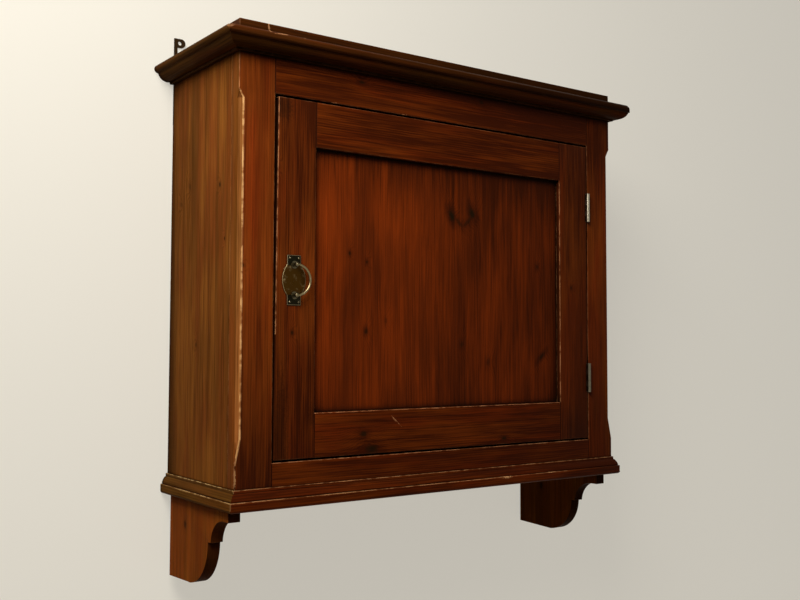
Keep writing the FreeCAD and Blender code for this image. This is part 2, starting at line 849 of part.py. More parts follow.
# Cornice and base moulding, mitred at the two front corners
def moulding(label, profile, brads):
    """Three lengths of one moulding. The profile's corners are (projection, height), arcs as in outline."""
    reach = max((as_size(corner[0]) for corner in profile), key=lambda size: size.value)
    heights = [as_size(corner[1]) for corner in profile]
    low = min(heights, key=lambda size: size.value)
    high = max(heights, key=lambda size: size.value)
    span = reach * 3

    def mitre(name, sign, degrees):
        """A block turned on a front corner, with one face on the mitre."""
        waste = block(name, (0, 0, low), (span, span, high))
        place(waste, (from_side(sign, 0), front, low), FreeCAD.Rotation(UP, degrees))
        return waste

    run = [(front - corner[0], *corner[1:3], *(-turn for turn in corner[3:])) for corner in profile]
    length = sawn(f"{label}_front_run", "YZ_Plane", run, left - span, cell.case_width + span * 2)
    ends = [mitre(f"{label}_front_mitre_left", -1, 135), mitre(f"{label}_front_mitre_right", 1, -45)]
    overrun = [
        block(f"{label}_overrun_{hand}", (from_side(sign, -reach * 2), front - span, low),
              (from_side(sign, -span - reach), front, high))
        for hand, sign in HANDS
    ]
    piece(f"{label}_front", trimmed(f"{label}_front", length, [*ends, *overrun, brads]))
    for hand, sign in HANDS:
        run = [
            (from_side(sign, -corner[0]), *corner[1:3], *(sign * turn for turn in corner[3:]))
            for corner in profile
        ]
        length = sawn(f"{label}_{hand}_run", "XZ_Plane", run, 0, cell.case_depth + reach * 2)
        waste = mitre(f"{label}_{hand}_mitre", sign, 225)
        piece(f"{label}_{hand}", trimmed(f"{label}_{hand}", length, [waste, brads]))


ovolo_foot = case_top + cell.cornice_fillet_height
ovolo_head = ovolo_foot + cell.ovolo_height
ovolo_edge = cell.cornice_fillet_depth + cell.ovolo_depth
lip_edge = ovolo_edge + cell.lip_step
moulding(
    "cornice",
    [
        (as_size(0), case_top),
        (cell.cornice_fillet_depth, case_top),
        (cell.cornice_fillet_depth, ovolo_foot),
        (ovolo_edge, ovolo_head, cell.ovolo_rise, 1),
        (lip_edge, ovolo_head),
        (lip_edge - cell.lip_set_back, roof_under, cell.lip_rise, 1),
        (as_size(0), roof_under),
    ],
    cornice_brads,
)
moulding(
    "base_mould",
    [
        (as_size(0), base_top),
        (cell.mould_foot_depth, base_top),
        (cell.mould_foot_depth, base_top + cell.mould_foot_height),
        (cell.mould_fillet_depth, case_bottom - cell.mould_fillet_height, cell.mould_swell, 1),
        (cell.mould_fillet_depth, case_bottom),
        (as_size(0), case_bottom),
    ],
    mould_brads,
)

# Brackets under the base. They were sawn by hand: the right one is the shorter, and their heels differ
fillet_back = -cell.bracket_reach + cell.bracket_fillet_depth
cove_back = fillet_back + cell.cove_depth
step_back = cove_back + cell.step_depth
BRACKETS = (
    ("left", left, -cell.left_set_back, cell.left_fillet_height,
     cell.left_belly_height, -cell.left_heel_drop),
    ("right", right - cell.bracket_thickness, -cell.right_set_back, cell.right_fillet_height,
     cell.right_belly_height, cell.right_heel_lift),
)
for hand, start, heel_back, fillet, belly, heel_lift in BRACKETS:
    fillet_under = base_under - fillet
    cove_under = fillet_under - cell.cove_height
    step_under = cove_under - cell.step_height
    bracket_under = step_under - belly
    corners = [
        (heel_back, base_under),
        (-cell.bracket_reach, base_under),
        (-cell.bracket_reach, fillet_under),
        (fillet_back, fillet_under),
        (cove_back, cove_under, cell.cove_rise, -1),
        (cove_back, step_under),
        (step_back, step_under),
        (step_back + belly, bracket_under, belly * QUARTER_RISE, 1),
        (heel_back, bracket_under + heel_lift),
    ]
    bracket = sawn(f"bracket_{hand}_blank", "YZ_Plane", corners, start, cell.bracket_thickness)
    piece(f"bracket_{hand}", trimmed(f"bracket_{hand}", bracket, [bracket_screw_holes]))

# Pull: a back plate on the latch stile, and two posts whose slotted heads hold the eyes of the bail
plate_left, plate_right = pull_x - cell.plate_width / 2, pull_x + cell.plate_width / 2
plate_low, plate_high = pull_z - cell.plate_height / 2, pull_z + cell.plate_height / 2
belly_low, belly_high = pull_z - cell.plate_belly_height / 2, pull_z + cell.plate_belly_height / 2
plate_blank = sawn(
    "plate_blank",
    "XZ_Plane",
    [
        (plate_left, plate_low),
        (plate_right, plate_low),
        (plate_right, belly_low),
        (plate_right, belly_high, cell.plate_belly, 1),
        (plate_right, plate_high),
        (plate_left, plate_high),
        (plate_left, belly_high),
        (plate_left, belly_low, cell.plate_belly, 1),
    ],
    front,
    cell.plate_thickness,
)
pin_rise = cell.plate_height / 2 - cell.plate_pin_margin
plate_pins = []
for count, (across, up) in enumerate(((-1, -1), (-1, 1), (1, -1), (1, 1)), start=1):
    at = (pull_x + across * cell.plate_pin_spread / 2, plate_face, pull_z + up * pin_rise)
    shank = rod(f"plate_pin_shank_{count}", at, "+y", cell.plate_pin_radius, cell.plate_pin_length)
    dome = ball(f"plate_pin_dome_{count}", at, cell.plate_pin_head, "-y", half=True)
    plate_pins.append(united(f"plate_pin_{count}", [shank, dome]))
pull_pins = piece("pull_pins", group("pull_pins", plate_pins))

head_radius = cell.post_head_radius
slot_rise = cell.eye_thickness / 2 + cell.eye_side_clearance
slot_back = bail_y + cell.eye_radius + cell.eye_back_clearance
neck_start = pull_x + head_radius + cell.bail_head_clearance
neck_end = neck_start + cell.bail_wire_radius
tails, posts, pivots, eyes, bores = [], [], [], [], []
for end, up in (("low", -1), ("high", 1)):
    z = pull_z + up * cell.bail_radius
    foot, head = (pull_x, plate_face, z), (pull_x, bail_y, z)
    tail = rod(f"post_{end}_tail", foot, "+y", cell.post_tail_radius, cell.post_tail_length)
    post_shapes = [
        rod(f"post_{end}_collar", foot, "-y", cell.post_collar_radius, cell.post_collar_thickness),
        rod(f"post_{end}_stem", foot, "-y", cell.post_radius, cell.bail_stand_off),
        ball(f"post_{end}_head", head, head_radius),
        tail,
    ]
    slot = block(
        f"post_{end}_slot",
        (pull_x - head_radius, bail_y - head_radius, z - slot_rise),
        (pull_x + head_radius, slot_back, z + slot_rise),
    )
    pivot_foot = (pull_x, bail_y, z - head_radius)
    pivot = rod(f"post_{end}_pivot", pivot_foot, "+z", cell.pivot_radius, head_radius * 2)
    tails.append(tail)
    pivots.append(pivot)
    posts.append(trimmed(f"post_{end}", united(f"post_{end}_whole", post_shapes), [slot, pivot]))
    eye_low, eye_high = z - cell.eye_thickness / 2, z + cell.eye_thickness / 2
    eyes.append(rod(f"bail_eye_{end}", (pull_x, bail_y, eye_low), "+z", cell.eye_radius, cell.eye_thickness))
    neck_front, neck_back = bail_y - cell.bail_neck_width / 2, bail_y + cell.bail_neck_width / 2
    eyes.append(block(f"bail_neck_{end}", (pull_x, neck_front, eye_low), (neck_end, neck_back, eye_high)))
    bore_radius = cell.pivot_radius + cell.pivot_clearance
    bores.append(rod(f"bail_bore_{end}", (pull_x, bail_y, eye_low), "+z", bore_radius, cell.eye_thickness))
piece("pull_posts", group("pull_posts", posts))
piece("pull_pivots", group("pull_pivots", pivots))
piece("pull_plate", trimmed("pull_plate", plate_blank, [pull_pins, *tails]))

ring = doc.addObject("Part::Torus", "bail_ring")
bind(ring, "Radius1", cell.bail_radius)
bind(ring, "Radius2", cell.bail_wire_radius)
ring.Angle3 = 180
place(ring, (pull_x, bail_y, pull_z), FreeCAD.Rotation(WAYS["-z"], WAYS["+x"], WAYS["-y"], "ZXY"))
ring_margin = cell.bail_wire_radius * 2
ring_waste = block(
    "bail_ring_waste",
    (pull_x - ring_margin, bail_y - ring_margin, pull_z - cell.bail_radius - ring_margin),
    (neck_start, bail_y + ring_margin, pull_z + cell.bail_radius + ring_margin),
)
bow = trimmed("bail_bow", ring, [ring_waste])
piece("pull_bail", trimmed("pull_bail", united("bail_whole", [bow, *eyes]), bores))

# Door: rails tenoned into stiles, and a flat panel loose in grooves
DOOR_RAILS = (("top", panel_high, door_high), ("bottom", door_low, panel_low))


def door_tenon(name, shoulder, way, low, high):
    """The tenon of a door rail in one stile, which is also the shape of its mortise."""
    tip = shoulder + way * cell.door_tenon_length
    inset = cell.door_tenon_shoulder
    return block(name, (shoulder, panel_face, low + inset), (tip, panel_back, high - inset))


DOOR_SHOULDERS = (("left", panel_left, -1), ("right", panel_right, 1))
groove_low, groove_high = panel_low - cell.panel_groove, panel_high + cell.panel_groove
for end, low, high in DOOR_RAILS:
    rail = block(f"door_rail_{end}_blank", (panel_left, front, low), (panel_right, door_back, high))
    tenons = [
        door_tenon(f"door_rail_{end}_tenon_{hand}", shoulder, way, low, high)
        for hand, shoulder, way in DOOR_SHOULDERS
    ]
    edge, groove_end = (panel_high, groove_high) if end == "top" else (panel_low, groove_low)
    groove = block(
        f"door_rail_{end}_groove", (panel_left, panel_face, edge), (panel_right, panel_back, groove_end)
    )
    whole = united(f"door_rail_{end}_whole", [rail, *tenons])
    piece(f"door_rail_{end}", trimmed(f"door_rail_{end}", whole, [groove]))

for hand, shoulder, way in DOOR_SHOULDERS:
    cuts = [
        door_tenon(f"door_mortise_{end}_{hand}", shoulder, way, low, high) for end, low, high in DOOR_RAILS
    ]
    groove_end = shoulder + way * cell.panel_groove
    groove_corners = (shoulder, panel_face, groove_low), (groove_end, panel_back, groove_high)
    cuts.append(block(f"door_groove_{hand}", *groove_corners))
    if hand == "left":
        # The latch edge is planed to a slight taper, so the gap beside it is wider at the top
        corners = [
            (opening_left + cell.latch_gap_bottom, door_low),
            (shoulder, door_low),
            (shoulder, door_high),
            (opening_left + cell.latch_gap_top, door_high),
        ]
        stile = sawn("door_stile_left_blank", "XZ_Plane", corners, door_back, cell.door_thickness)
        cuts += [pull_pins, *tails]
    else:
        stile_corners = (shoulder, front, door_low), (door_right, door_back, door_high)
        stile = block("door_stile_right_blank", *stile_corners)
        cuts += [leaf_gain(f"door_gain_{hinge}", -1, low) for hinge, low in HINGES]
        cuts.append(door_hinge_holes)
    piece(f"door_stile_{hand}", trimmed(f"door_stile_{hand}", stile, cuts))

panel_tongue = cell.panel_groove - cell.panel_play
panel_corner = (panel_left - panel_tongue, panel_face, panel_low - panel_tongue)
panel_opposite = (panel_right + panel_tongue, panel_back, panel_high + panel_tongue)
piece("door_panel", block("door_panel", panel_corner, panel_opposite))

# Butt hinges: a frame leaf, a door leaf and a pin each
knuckle_pitch = cell.leaf_height / HINGE_KNUCKLES
for hinge, low in HINGES:
    bore = rod(
        f"hinge_{hinge}_bore",
        (hinge_x, hinge_y, low),
        "+z",
        cell.hinge_pin_radius + cell.hinge_pin_clearance,
        cell.leaf_height,
    )
    for owner, sign, first, holes in (("frame", 1, 0, frame_hinge_holes), ("door", -1, 1, door_hinge_holes)):
        name = f"hinge_{hinge}_{owner}_leaf"
        inner = hinge_x + sign * cell.hinge_gap / 2
        outer = inner + sign * cell.leaf_thickness
        parts = [leaf_gain(f"{name}_plate", sign, low)]
        for knuckle in range(first, HINGE_KNUCKLES, 2):
            start = low + knuckle_pitch * knuckle + (0 if knuckle == 0 else cell.knuckle_gap)
            stop = low + knuckle_pitch * (knuckle + 1)
            stop = stop - (0 if knuckle == HINGE_KNUCKLES - 1 else cell.knuckle_gap)
            barrel_at = (hinge_x, hinge_y, start)
            parts.append(rod(f"{name}_barrel_{knuckle}", barrel_at, "+z", cell.knuckle_radius, stop - start))
            parts.append(block(f"{name}_wrap_{knuckle}", (inner, hinge_y, start), (outer, front, stop)))
        piece(name, trimmed(name, united(f"{name}_whole", parts), [bore, holes]))
    pin = rod(f"hinge_{hinge}_pin", (hinge_x, hinge_y, low), "+z", cell.hinge_pin_radius, cell.leaf_height)
    piece(f"hinge_{hinge}_pin", pin)

doc.recompute()
broken = [thing.Name for thing in doc.Objects if {"Invalid", "Error"} & set(thing.State)]
if broken:
    raise RuntimeError(f"these objects failed: {broken}")
for thing in pieces:
    if thing.Shape.isNull() or not thing.Shape.isValid() or not thing.Shape.Solids:
        raise RuntimeError(f"{thing.Label} has no sound solid")

os.makedirs("parts", exist_ok=True)
for thing in pieces:
    thing.Shape.exportStep(f"parts/{thing.Label}.step")
print(f"{len(pieces)} sub-parts, {sum(len(thing.Shape.Solids) for thing in pieces)} solids")
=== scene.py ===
# %% [markdown]
# # An old hanging cupboard of stained pine
#
# The cupboard is a plain box of pine boards with a framed door, a moulded cornice, a nosed base and two shaped
# brackets. It could be modelled here from nothing, but its joinery has to be exact, so the construction is done
# already: every board, hinge leaf and nail comes in as its own solid. What is left is what years of use give it:
# eased edges, a red-brown stain over knotty grain, worn arrises, grime in the corners and tarnish on the brass.

# %% Bring in the construction
import json
from math import cos, pi, radians, sin

import bmesh
import bpy
from mathutils import Euler, Matrix, Vector

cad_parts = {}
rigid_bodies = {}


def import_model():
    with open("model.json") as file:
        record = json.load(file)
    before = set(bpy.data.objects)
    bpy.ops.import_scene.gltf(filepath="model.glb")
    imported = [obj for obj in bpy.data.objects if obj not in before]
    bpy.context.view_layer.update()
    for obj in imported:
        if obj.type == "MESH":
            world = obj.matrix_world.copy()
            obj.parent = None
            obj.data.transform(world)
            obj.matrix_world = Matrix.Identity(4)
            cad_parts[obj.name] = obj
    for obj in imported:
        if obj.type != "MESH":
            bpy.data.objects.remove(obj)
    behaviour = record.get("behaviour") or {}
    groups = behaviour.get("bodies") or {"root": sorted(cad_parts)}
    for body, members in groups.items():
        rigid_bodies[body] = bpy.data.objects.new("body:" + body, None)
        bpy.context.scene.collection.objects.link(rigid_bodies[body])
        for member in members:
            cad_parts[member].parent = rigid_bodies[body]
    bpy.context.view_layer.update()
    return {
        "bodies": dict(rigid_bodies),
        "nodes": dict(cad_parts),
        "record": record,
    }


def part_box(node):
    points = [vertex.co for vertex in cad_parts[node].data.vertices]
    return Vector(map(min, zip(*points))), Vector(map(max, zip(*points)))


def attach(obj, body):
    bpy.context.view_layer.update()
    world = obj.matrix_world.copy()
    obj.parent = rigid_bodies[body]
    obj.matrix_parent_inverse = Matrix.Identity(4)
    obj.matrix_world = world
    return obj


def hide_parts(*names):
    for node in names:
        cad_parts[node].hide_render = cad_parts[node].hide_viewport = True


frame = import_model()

solids = frame["nodes"]
scene = bpy.context.scene
for thing in list(scene.objects):
    if thing.name not in solids and thing not in frame["bodies"].values():
        bpy.data.objects.remove(thing)

# %% [markdown]
# ## Where the viewer stands
#
# The cupboard hangs a little above eye level and is seen from its left, so the left side and the front both show.
# A camera could be aimed with a constraint, but a viewer's head is never quite upright. So the three turns are
# written out and joined into one matrix: the heading, a few degrees of rise and a trace of lean.

# %% Set up the camera
heading, rise, lean = radians(-35.865), radians(3.178), radians(0.154)
turn = Matrix.Rotation(heading, 3, "Z") @ Matrix.Rotation(pi / 2 + rise, 3, "X") @ Matrix.Rotation(lean, 3, "Z")
eye = Vector((-0.9827, -1.4706, -0.4746))
camera = bpy.data.objects.new("camera", bpy.data.cameras.new("camera"))
camera.matrix_world = Matrix.Translation(eye) @ turn.to_4x4()
camera.data.lens, camera.data.sensor_width = 44.944, 36.0
camera.data.shift_x, camera.data.shift_y = -0.0061, -0.0131
scene.collection.objects.link(camera)
scene.camera = camera
print("the eye is", round(eye.length, 3), "m away from the middle of the hanging line")

# %% [markdown]
# ## A finish is a list of steps
#
# A finish in Blender is a small network of shader nodes. It could be drawn by hand in the node editor, but then
# nobody could read how it came about. Here one helper lays a node and feeds its inputs, so that every recipe below
# reads as a list of steps.

# %% Lay a shader node
def lay(tree, kind, feeds, **settings):
    """Lays one node and feeds its inputs, by name or number, with values or with other nodes' outputs."""
    node = tree.nodes.new("ShaderNode" + kind)
    for name, value in settings.items():
        setattr(node, name, value)
    for name, value in feeds.items():
        if isinstance(value, bpy.types.NodeSocket):
            tree.links.new(value, node.inputs[name])
        else:
            node.inputs[name].default_value = value
    return node.outputs


def sums(tree, operation, *numbers, clamp=False):
    """One step of arithmetic."""
    return lay(tree, "Math", dict(enumerate(numbers)), operation=operation, use_clamp=clamp)[0]


def new_finish(name):
    """A new material, with its node tree and its shader."""
    finish = bpy.data.materials.new(name)
    finish.use_nodes = True
    return finish, finish.node_tree, finish.node_tree.nodes["Principled BSDF"]


paper, paper_tree, matt = new_finish("studio_paper")
print(paper.name, "starts with", len(paper_tree.nodes), "nodes")

# %% [markdown]
# ## Paper that stays pale
#
# Pale studio paper stands behind the cupboard. More light would make it pale, but would bleach the cupboard as well.
# So the paper glows a little by itself, and to the eye only: to what is seen straight, in gloss or through glass.
# It lets light through, and sight from behind, so that the back of the cupboard can be seen too.

# %% Make the studio paper
PAPER_COLOUR, PAPER_GLOW = (0.34, 0.325, 0.285, 1), (0.80, 0.76, 0.67, 1)
GLOW_STRENGTH = 0.62


def to_the_eye(tree):
    """1 for what the eye sees, straight or in gloss or through glass, with the other kinds of ray beside it."""
    path = lay(tree, "LightPath", {})
    seen = sums(tree, "MAXIMUM", path["Is Camera Ray"], path["Is Glossy Ray"])
    return sums(tree, "MAXIMUM", seen, path["Is Transmission Ray"]), path


for label, value in (("Base Color", PAPER_COLOUR), ("Emission Color", PAPER_GLOW), ("Roughness", 0.9),
                     ("Specular IOR Level", 0.1)):
    matt.inputs[label].default_value = value
seen, path = to_the_eye(paper_tree)
paper_tree.links.new(sums(paper_tree, "MULTIPLY", seen, GLOW_STRENGTH), matt.inputs["Emission Strength"])
behind = lay(paper_tree, "NewGeometry", {})["Backfacing"]
through = sums(paper_tree, "MAXIMUM", behind, path["Is Shadow Ray"])
clear = lay(paper_tree, "BsdfTransparent", {})[0]
either = lay(paper_tree, "MixShader", {0: through, 1: matt.outputs[0], 2: clear})[0]
paper_tree.links.new(either, paper_tree.nodes["Material Output"].inputs["Surface"])
print(paper.name, "now has", len(paper_tree.nodes), "nodes")

# %% [markdown]
# ## A plain studio
#
# A pale wall carries the cupboard and a pale floor lies well below it. Thick slabs would do in a still picture from
# the front, but they would hide the cupboard from behind. So each is a single sheet between two corners, turned to
# face one way.

# %% Hang the wall and lay the floor
FLOOR_HEIGHT, WALL_TOP, STUDIO_HALF = -1.3, 2.2, 4
BEHIND_BACK = 0.0005


def pale_sheet(name, low, high, facing):
    """A flat sheet of studio paper between two corners, turned to face one way."""
    shape = bmesh.new()
    corners = [low, (high[0], low[1], low[2]), high, (low[0], high[1], high[2])]
    face = shape.faces.new([shape.verts.new(corner) for corner in corners])
    face.normal_update()
    if face.normal.dot(Vector(facing)) < 0:
        bmesh.ops.reverse_faces(shape, faces=shape.faces)
    sheet = bpy.data.objects.new(name, bpy.data.meshes.new(name))
    shape.to_mesh(sheet.data)
    shape.free()
    sheet.data.materials.append(paper)
    scene.collection.objects.link(sheet)


pale_sheet("wall", (-STUDIO_HALF, BEHIND_BACK, FLOOR_HEIGHT), (STUDIO_HALF, BEHIND_BACK, WALL_TOP), (0, -1, 0))
pale_sheet("floor", (-STUDIO_HALF, -STUDIO_HALF, FLOOR_HEIGHT), (STUDIO_HALF, STUDIO_HALF, FLOOR_HEIGHT), (0, 0, 1))

# %% [markdown]
# ## The lamps
#
# Daylight falls on the cupboard from the left and fades towards its right end and its foot, as it does beside a
# window. A sun lamp would light it evenly all over. So one wide square lamp stands close by, to the left and in
# front. A second one stands behind the paper: its light passes through and reaches only the back and the right side.

# %% Set up the lamps
DAYLIGHT, LAMP_SIZE = (1.0, 0.96, 0.90), 0.8


def lamp(name, place, aim, power):
    """One soft square lamp, out of sight itself."""
    light = bpy.data.lights.new(name, "AREA")
    light.shape, light.size, light.energy, light.color = "SQUARE", LAMP_SIZE, power, DAYLIGHT
    stand = bpy.data.objects.new(name, light)
    stand.location = place
    stand.rotation_euler = (Vector(aim) - Vector(place)).to_track_quat("-Z", "Y").to_euler()
    stand.visible_camera = False
    scene.collection.objects.link(stand)
    print(name, "shines with", power, "W")


lamp("window_lamp", (-1.0, -0.95, 0.60), (0, -0.12, -0.38), 30)
lamp("back_lamp", (1.1, 1.15, 0.50), (0.1, -0.05, -0.38), 26)

# %% [markdown]
# ## The surroundings
#
# A room gives back a little bluish light from all sides, which keeps the shadows open. One plain world colour would
# do that, but past the edge of the wall it would show as a dark grey. So the world has two: that faint light for
# the cupboard, and to the eye the pale glow of the paper.

# %% Set the light of the surroundings
def mix(tree, share, first, second):
    """A share of the second colour over the first."""
    return lay(tree, "Mix", {0: share, 6: first, 7: second}, data_type="RGBA")[2]


FAINT, GLOW_MORE = 0.05, 0.57
world = bpy.data.worlds.new("studio")
world.use_nodes = True
scene.world = world
tree, sky = world.node_tree, world.node_tree.nodes["Background"]
seen = to_the_eye(tree)[0]
tree.links.new(mix(tree, seen, (0.92, 0.95, 1.0, 1), PAPER_GLOW), sky.inputs["Color"])
tree.links.new(sums(tree, "MULTIPLY_ADD", seen, GLOW_MORE, FAINT), sky.inputs["Strength"])
scene.view_settings.view_transform = "Standard"
print("the surroundings give", FAINT, "to the cupboard and", round(FAINT + GLOW_MORE, 2), "to the eye")

# %% [markdown]
# ## Fibres
#
# Wood fibres are long and thin, and they wander. A picture of wood would repeat itself and show seams at the edges
# of a board. So the fibres are soft noise that fills the whole solid, drawn out along the grain by a small stretch
# factor and pushed about by a second noise. There are five kinds, each with its stretch, scale and detail: fine
# fibres, ragged streaks, red flushes, broad bands and clouds.

# %% Draw out noise along the grain
def soft_step(tree, value, start, end, low=0.0, high=1.0):
    """Goes smoothly from low to high while the value goes from start to end."""
    feeds = {"Value": value, "From Min": start, "From Max": end, "To Min": low, "To Max": high}
    return lay(tree, "MapRange", feeds, interpolation_type="SMOOTHSTEP")[0]


def vectors(tree, operation, *feeds):
    """One step of arithmetic on places."""
    return lay(tree, "VectorMath", dict(enumerate(feeds)), operation=operation)


def streaks(tree, place, stretch, scale, detail):
    """Soft noise between 0 and 1, drawn out along an axis by a small stretch factor."""
    drawn = vectors(tree, "MULTIPLY", place, stretch)[0]
    return lay(tree, "TexNoise", {"Vector": drawn, "Scale": scale, "Detail": detail})[0]


def wandering(tree, place, stretch, scale, reach):
    """The place, pushed about by soft noise as far as reach."""
    drawn = vectors(tree, "MULTIPLY", place, stretch)[0]
    push = lay(tree, "TexNoise", {"Vector": drawn, "Scale": scale})[1]
    push = vectors(tree, "SUBTRACT", push, (0.5, 0.5, 0.5))[0]
    push = lay(tree, "VectorMath", {0: push, "Scale": reach}, operation="SCALE")[0]
    return vectors(tree, "ADD", place, push)[0]


GRAIN = {"Fibre": (0.03, 420.0, 3.0), "Streak": (0.035, 110.0, 4.0), "Flush": (0.20, 24.0, 3.0),
         "Band": (0.05, 34.0, 2.0), "Cloud": (0.45, 10.0, 3.0)}
for label, (stretch, scale, detail) in GRAIN.items():
    print(label, "is about", round(1000 / scale), "mm wide and", round(1000 / scale / stretch), "mm long")

# %% [markdown]
# ## How pine grows
#
# A pine trunk adds one ring a year: pale soft wood in spring that darkens into a hard line in autumn, then starts
# again at once. A wave texture gives rings too, but as even as a target. Here a ring is the distance from the heart
# of the tree, cut off year by year, so that good and bad years can differ and a knot can bend them. Under a stain
# the rings show only faintly; what shows is how unevenly the fibres drank it, in short ragged streaks. Place is
# measured across the board, through it and along it. All the boards share this recipe. It could be copied into each
# finish, but as a shader group with named inputs and outputs it is built only once.

# %% Recipe for the figure of a pine board
def recipe(name, takes, gives):
    """An empty shader group with named inputs and outputs."""
    tree = bpy.data.node_groups.new(name, "ShaderNodeTree")
    for way, sockets in (("INPUT", takes), ("OUTPUT", gives)):
        for label, kind in sockets.items():
            tree.interface.new_socket(label, in_out=way, socket_type="NodeSocket" + kind)
    return tree, tree.nodes.new("NodeGroupInput").outputs, tree.nodes.new("NodeGroupOutput").inputs


tree, takes, gives = recipe(
    "pine_figure",
    {"Place": "Vector", "Ring": "Float", "Wander": "Float", "Lift": "Float"},
    {"Late": "Float", **dict.fromkeys(GRAIN, "Float")},
)
grown = wandering(tree, takes["Place"], (1, 1, 0.14), 9.0, takes["Wander"])
grown = vectors(tree, "MULTIPLY", grown, (1, 1, 0))[0]
years = sums(tree, "DIVIDE", vectors(tree, "LENGTH", grown)[1], takes["Ring"])
years = sums(tree, "ADD", years, takes["Lift"])
season = sums(tree, "FRACT", years)
autumn = sums(tree, "MULTIPLY", soft_step(tree, season, 0.25, 0.88), soft_step(tree, season, 1.0, 0.92))
good_year = lay(tree, "TexWhiteNoise", {"W": sums(tree, "FLOOR", years)}, noise_dimensions="1D")[0]
autumn = sums(tree, "MULTIPLY", autumn, sums(tree, "MULTIPLY_ADD", good_year, 0.65, 0.35))
tree.links.new(autumn, gives["Late"])
bent = wandering(tree, takes["Place"], (1, 1, 0.25), 16.0, 0.012)
for label, (stretch, scale, detail) in GRAIN.items():
    place = bent if label in ("Fibre", "Streak") else takes["Place"]
    tree.links.new(streaks(tree, place, (1, 1, stretch), scale, detail), gives[label])
print("pine_figure has", len(tree.nodes), "nodes")

# %% [markdown]
# ## Knots
#
# Where a branch grew out of the trunk the rings bend round it like water round a stone. A dark spot painted on the
# board would lie on top of the rings, so the recipe returns how far it lifts them, besides a dark core and a warm
# halo. A branch is cut slantwise, so a knot is longer along the grain than across it, and may lean.

# %% Recipe for one knot
tree, takes, gives = recipe(
    "pine_knot",
    {"Place": "Vector", "Middle": "Vector", "Size": "Float", "Lean": "Float", "Dark": "Float"},
    {"Lift": "Float", "Core": "Float", "Halo": "Float"},
)
away = lay(tree, "SeparateXYZ", {0: vectors(tree, "SUBTRACT", takes["Place"], takes["Middle"])[0]})
across = sums(tree, "MULTIPLY_ADD", away["Z"], takes["Lean"], away["X"])
away = lay(tree, "CombineXYZ", {"X": across, "Z": sums(tree, "MULTIPLY", away["Z"], 0.6)})[0]
ragged = lay(tree, "TexNoise", {"Vector": takes["Place"], "Scale": 170.0, "Detail": 2.0})[0]
reach = sums(tree, "DIVIDE", vectors(tree, "LENGTH", away)[1], takes["Size"])
reach = sums(tree, "ADD", reach, sums(tree, "MULTIPLY_ADD", ragged, 0.9, -0.45))
tree.links.new(soft_step(tree, reach, 6.0, 0.0, 0.0, 3.0), gives["Lift"])
tree.links.new(soft_step(tree, reach, 1.3, 0.3, 0.0, takes["Dark"]), gives["Core"])
tree.links.new(soft_step(tree, reach, 3.0, 0.7, 0.0, takes["Dark"]), gives["Halo"])
print("pine_knot has", len(tree.nodes), "nodes")

# %% [markdown]
# ## Stain, grime and wear
#
# The stain is laid over the figure: its light colour on spring wood and its dark colour on autumn wood, here and
# there flushed red, with broader bands and clouds where the wood drank more of it. One colour ramp could do this,
# but it would tie all of these together. As separate steps, in the order in which they came on the real board, each
# can be set by itself. Knots go darkest, and so do corners, with dirt and painted shade; the tone brings painted
# shade towards the right, the foot and the top. Last, hands rub the finish off, and pale wood shows; the same pale
# colour is a painted reflection on the cornice's fillet.

# %% Recipe for stained and worn wood
tree, takes, gives = recipe(
    "stained_wood",
    {**dict.fromkeys(("Late", *GRAIN, "Core", "Halo", "Grime and shade", "Wear and reflection", "Tone and shade", "Figure", "Banding", "Patchy"),
                     "Float"),
     **dict.fromkeys(("Light", "Red", "Dark", "Band colour", "Knot", "Soil and shade", "Bare"), "Color")},
    {"Colour": "Color", "Rough": "Float", "Height": "Float"},
)
grain = sums(tree, "MULTIPLY_ADD", takes["Fibre"], 1.4, -0.7)
grain = sums(tree, "ADD", grain, sums(tree, "MULTIPLY_ADD", takes["Streak"], 1.3, -0.65))
grain = sums(tree, "MULTIPLY_ADD", takes["Late"], 0.3, grain)
grain = sums(tree, "MULTIPLY", grain, takes["Figure"])
patchy = sums(tree, "MULTIPLY", sums(tree, "SUBTRACT", takes["Cloud"], 0.5), takes["Patchy"])
# The tone fed in here also carries painted shade, towards the right, the foot and the top.
depth = sums(tree, "ADD", sums(tree, "ADD", grain, patchy), sums(tree, "ADD", takes["Tone and shade"], 0.40))
depth = sums(tree, "MULTIPLY_ADD", takes["Halo"], 0.25, depth, clamp=True)
colour = mix(tree, soft_step(tree, takes["Flush"], 0.42, 0.62), takes["Light"], takes["Red"])
colour = mix(tree, depth, colour, takes["Dark"])
banded = sums(tree, "MULTIPLY", soft_step(tree, takes["Band"], 0.45, 0.65), takes["Banding"])
colour = mix(tree, banded, colour, takes["Band colour"])
colour = mix(tree, sums(tree, "MULTIPLY", takes["Core"], 0.9), colour, takes["Knot"])
# Painted shade: corners take the soil colour, partly as dirt and partly standing for the shade there.
colour = mix(tree, takes["Grime and shade"], colour, takes["Soil and shade"])
# The pale bare colour shows wear, and on the cornice's fillet it is a painted reflection.
bare = mix(tree, takes["Fibre"], takes["Bare"], takes["Light"])
tree.links.new(mix(tree, takes["Wear and reflection"], colour, bare), gives["Colour"])
rough = sums(tree, "MULTIPLY_ADD", takes["Fibre"], 0.22, 0.30)
rough = sums(tree, "MULTIPLY_ADD", takes["Grime and shade"], 0.25, rough)
tree.links.new(sums(tree, "MULTIPLY_ADD", takes["Wear and reflection"], 0.2, rough), gives["Rough"])
height = sums(tree, "MULTIPLY_ADD", takes["Late"], 0.5, takes["Fibre"])
tree.links.new(sums(tree, "SUBTRACT", height, sums(tree, "MULTIPLY", takes["Wear and reflection"], 0.4)), gives["Height"])
print("stained_wood has", len(tree.nodes), "nodes")

# %% [markdown]
# ## Marks of use
#
# A chip, a scratch or a smudge is a small patch with a ragged rim. It could be modelled as a dent, but most of them
# are only in the finish. So the patch is a mask: an oval set out where it is found on the cupboard and turned on the
# face that it lies on, with noise added to its rim. A smudge has a soft rim.

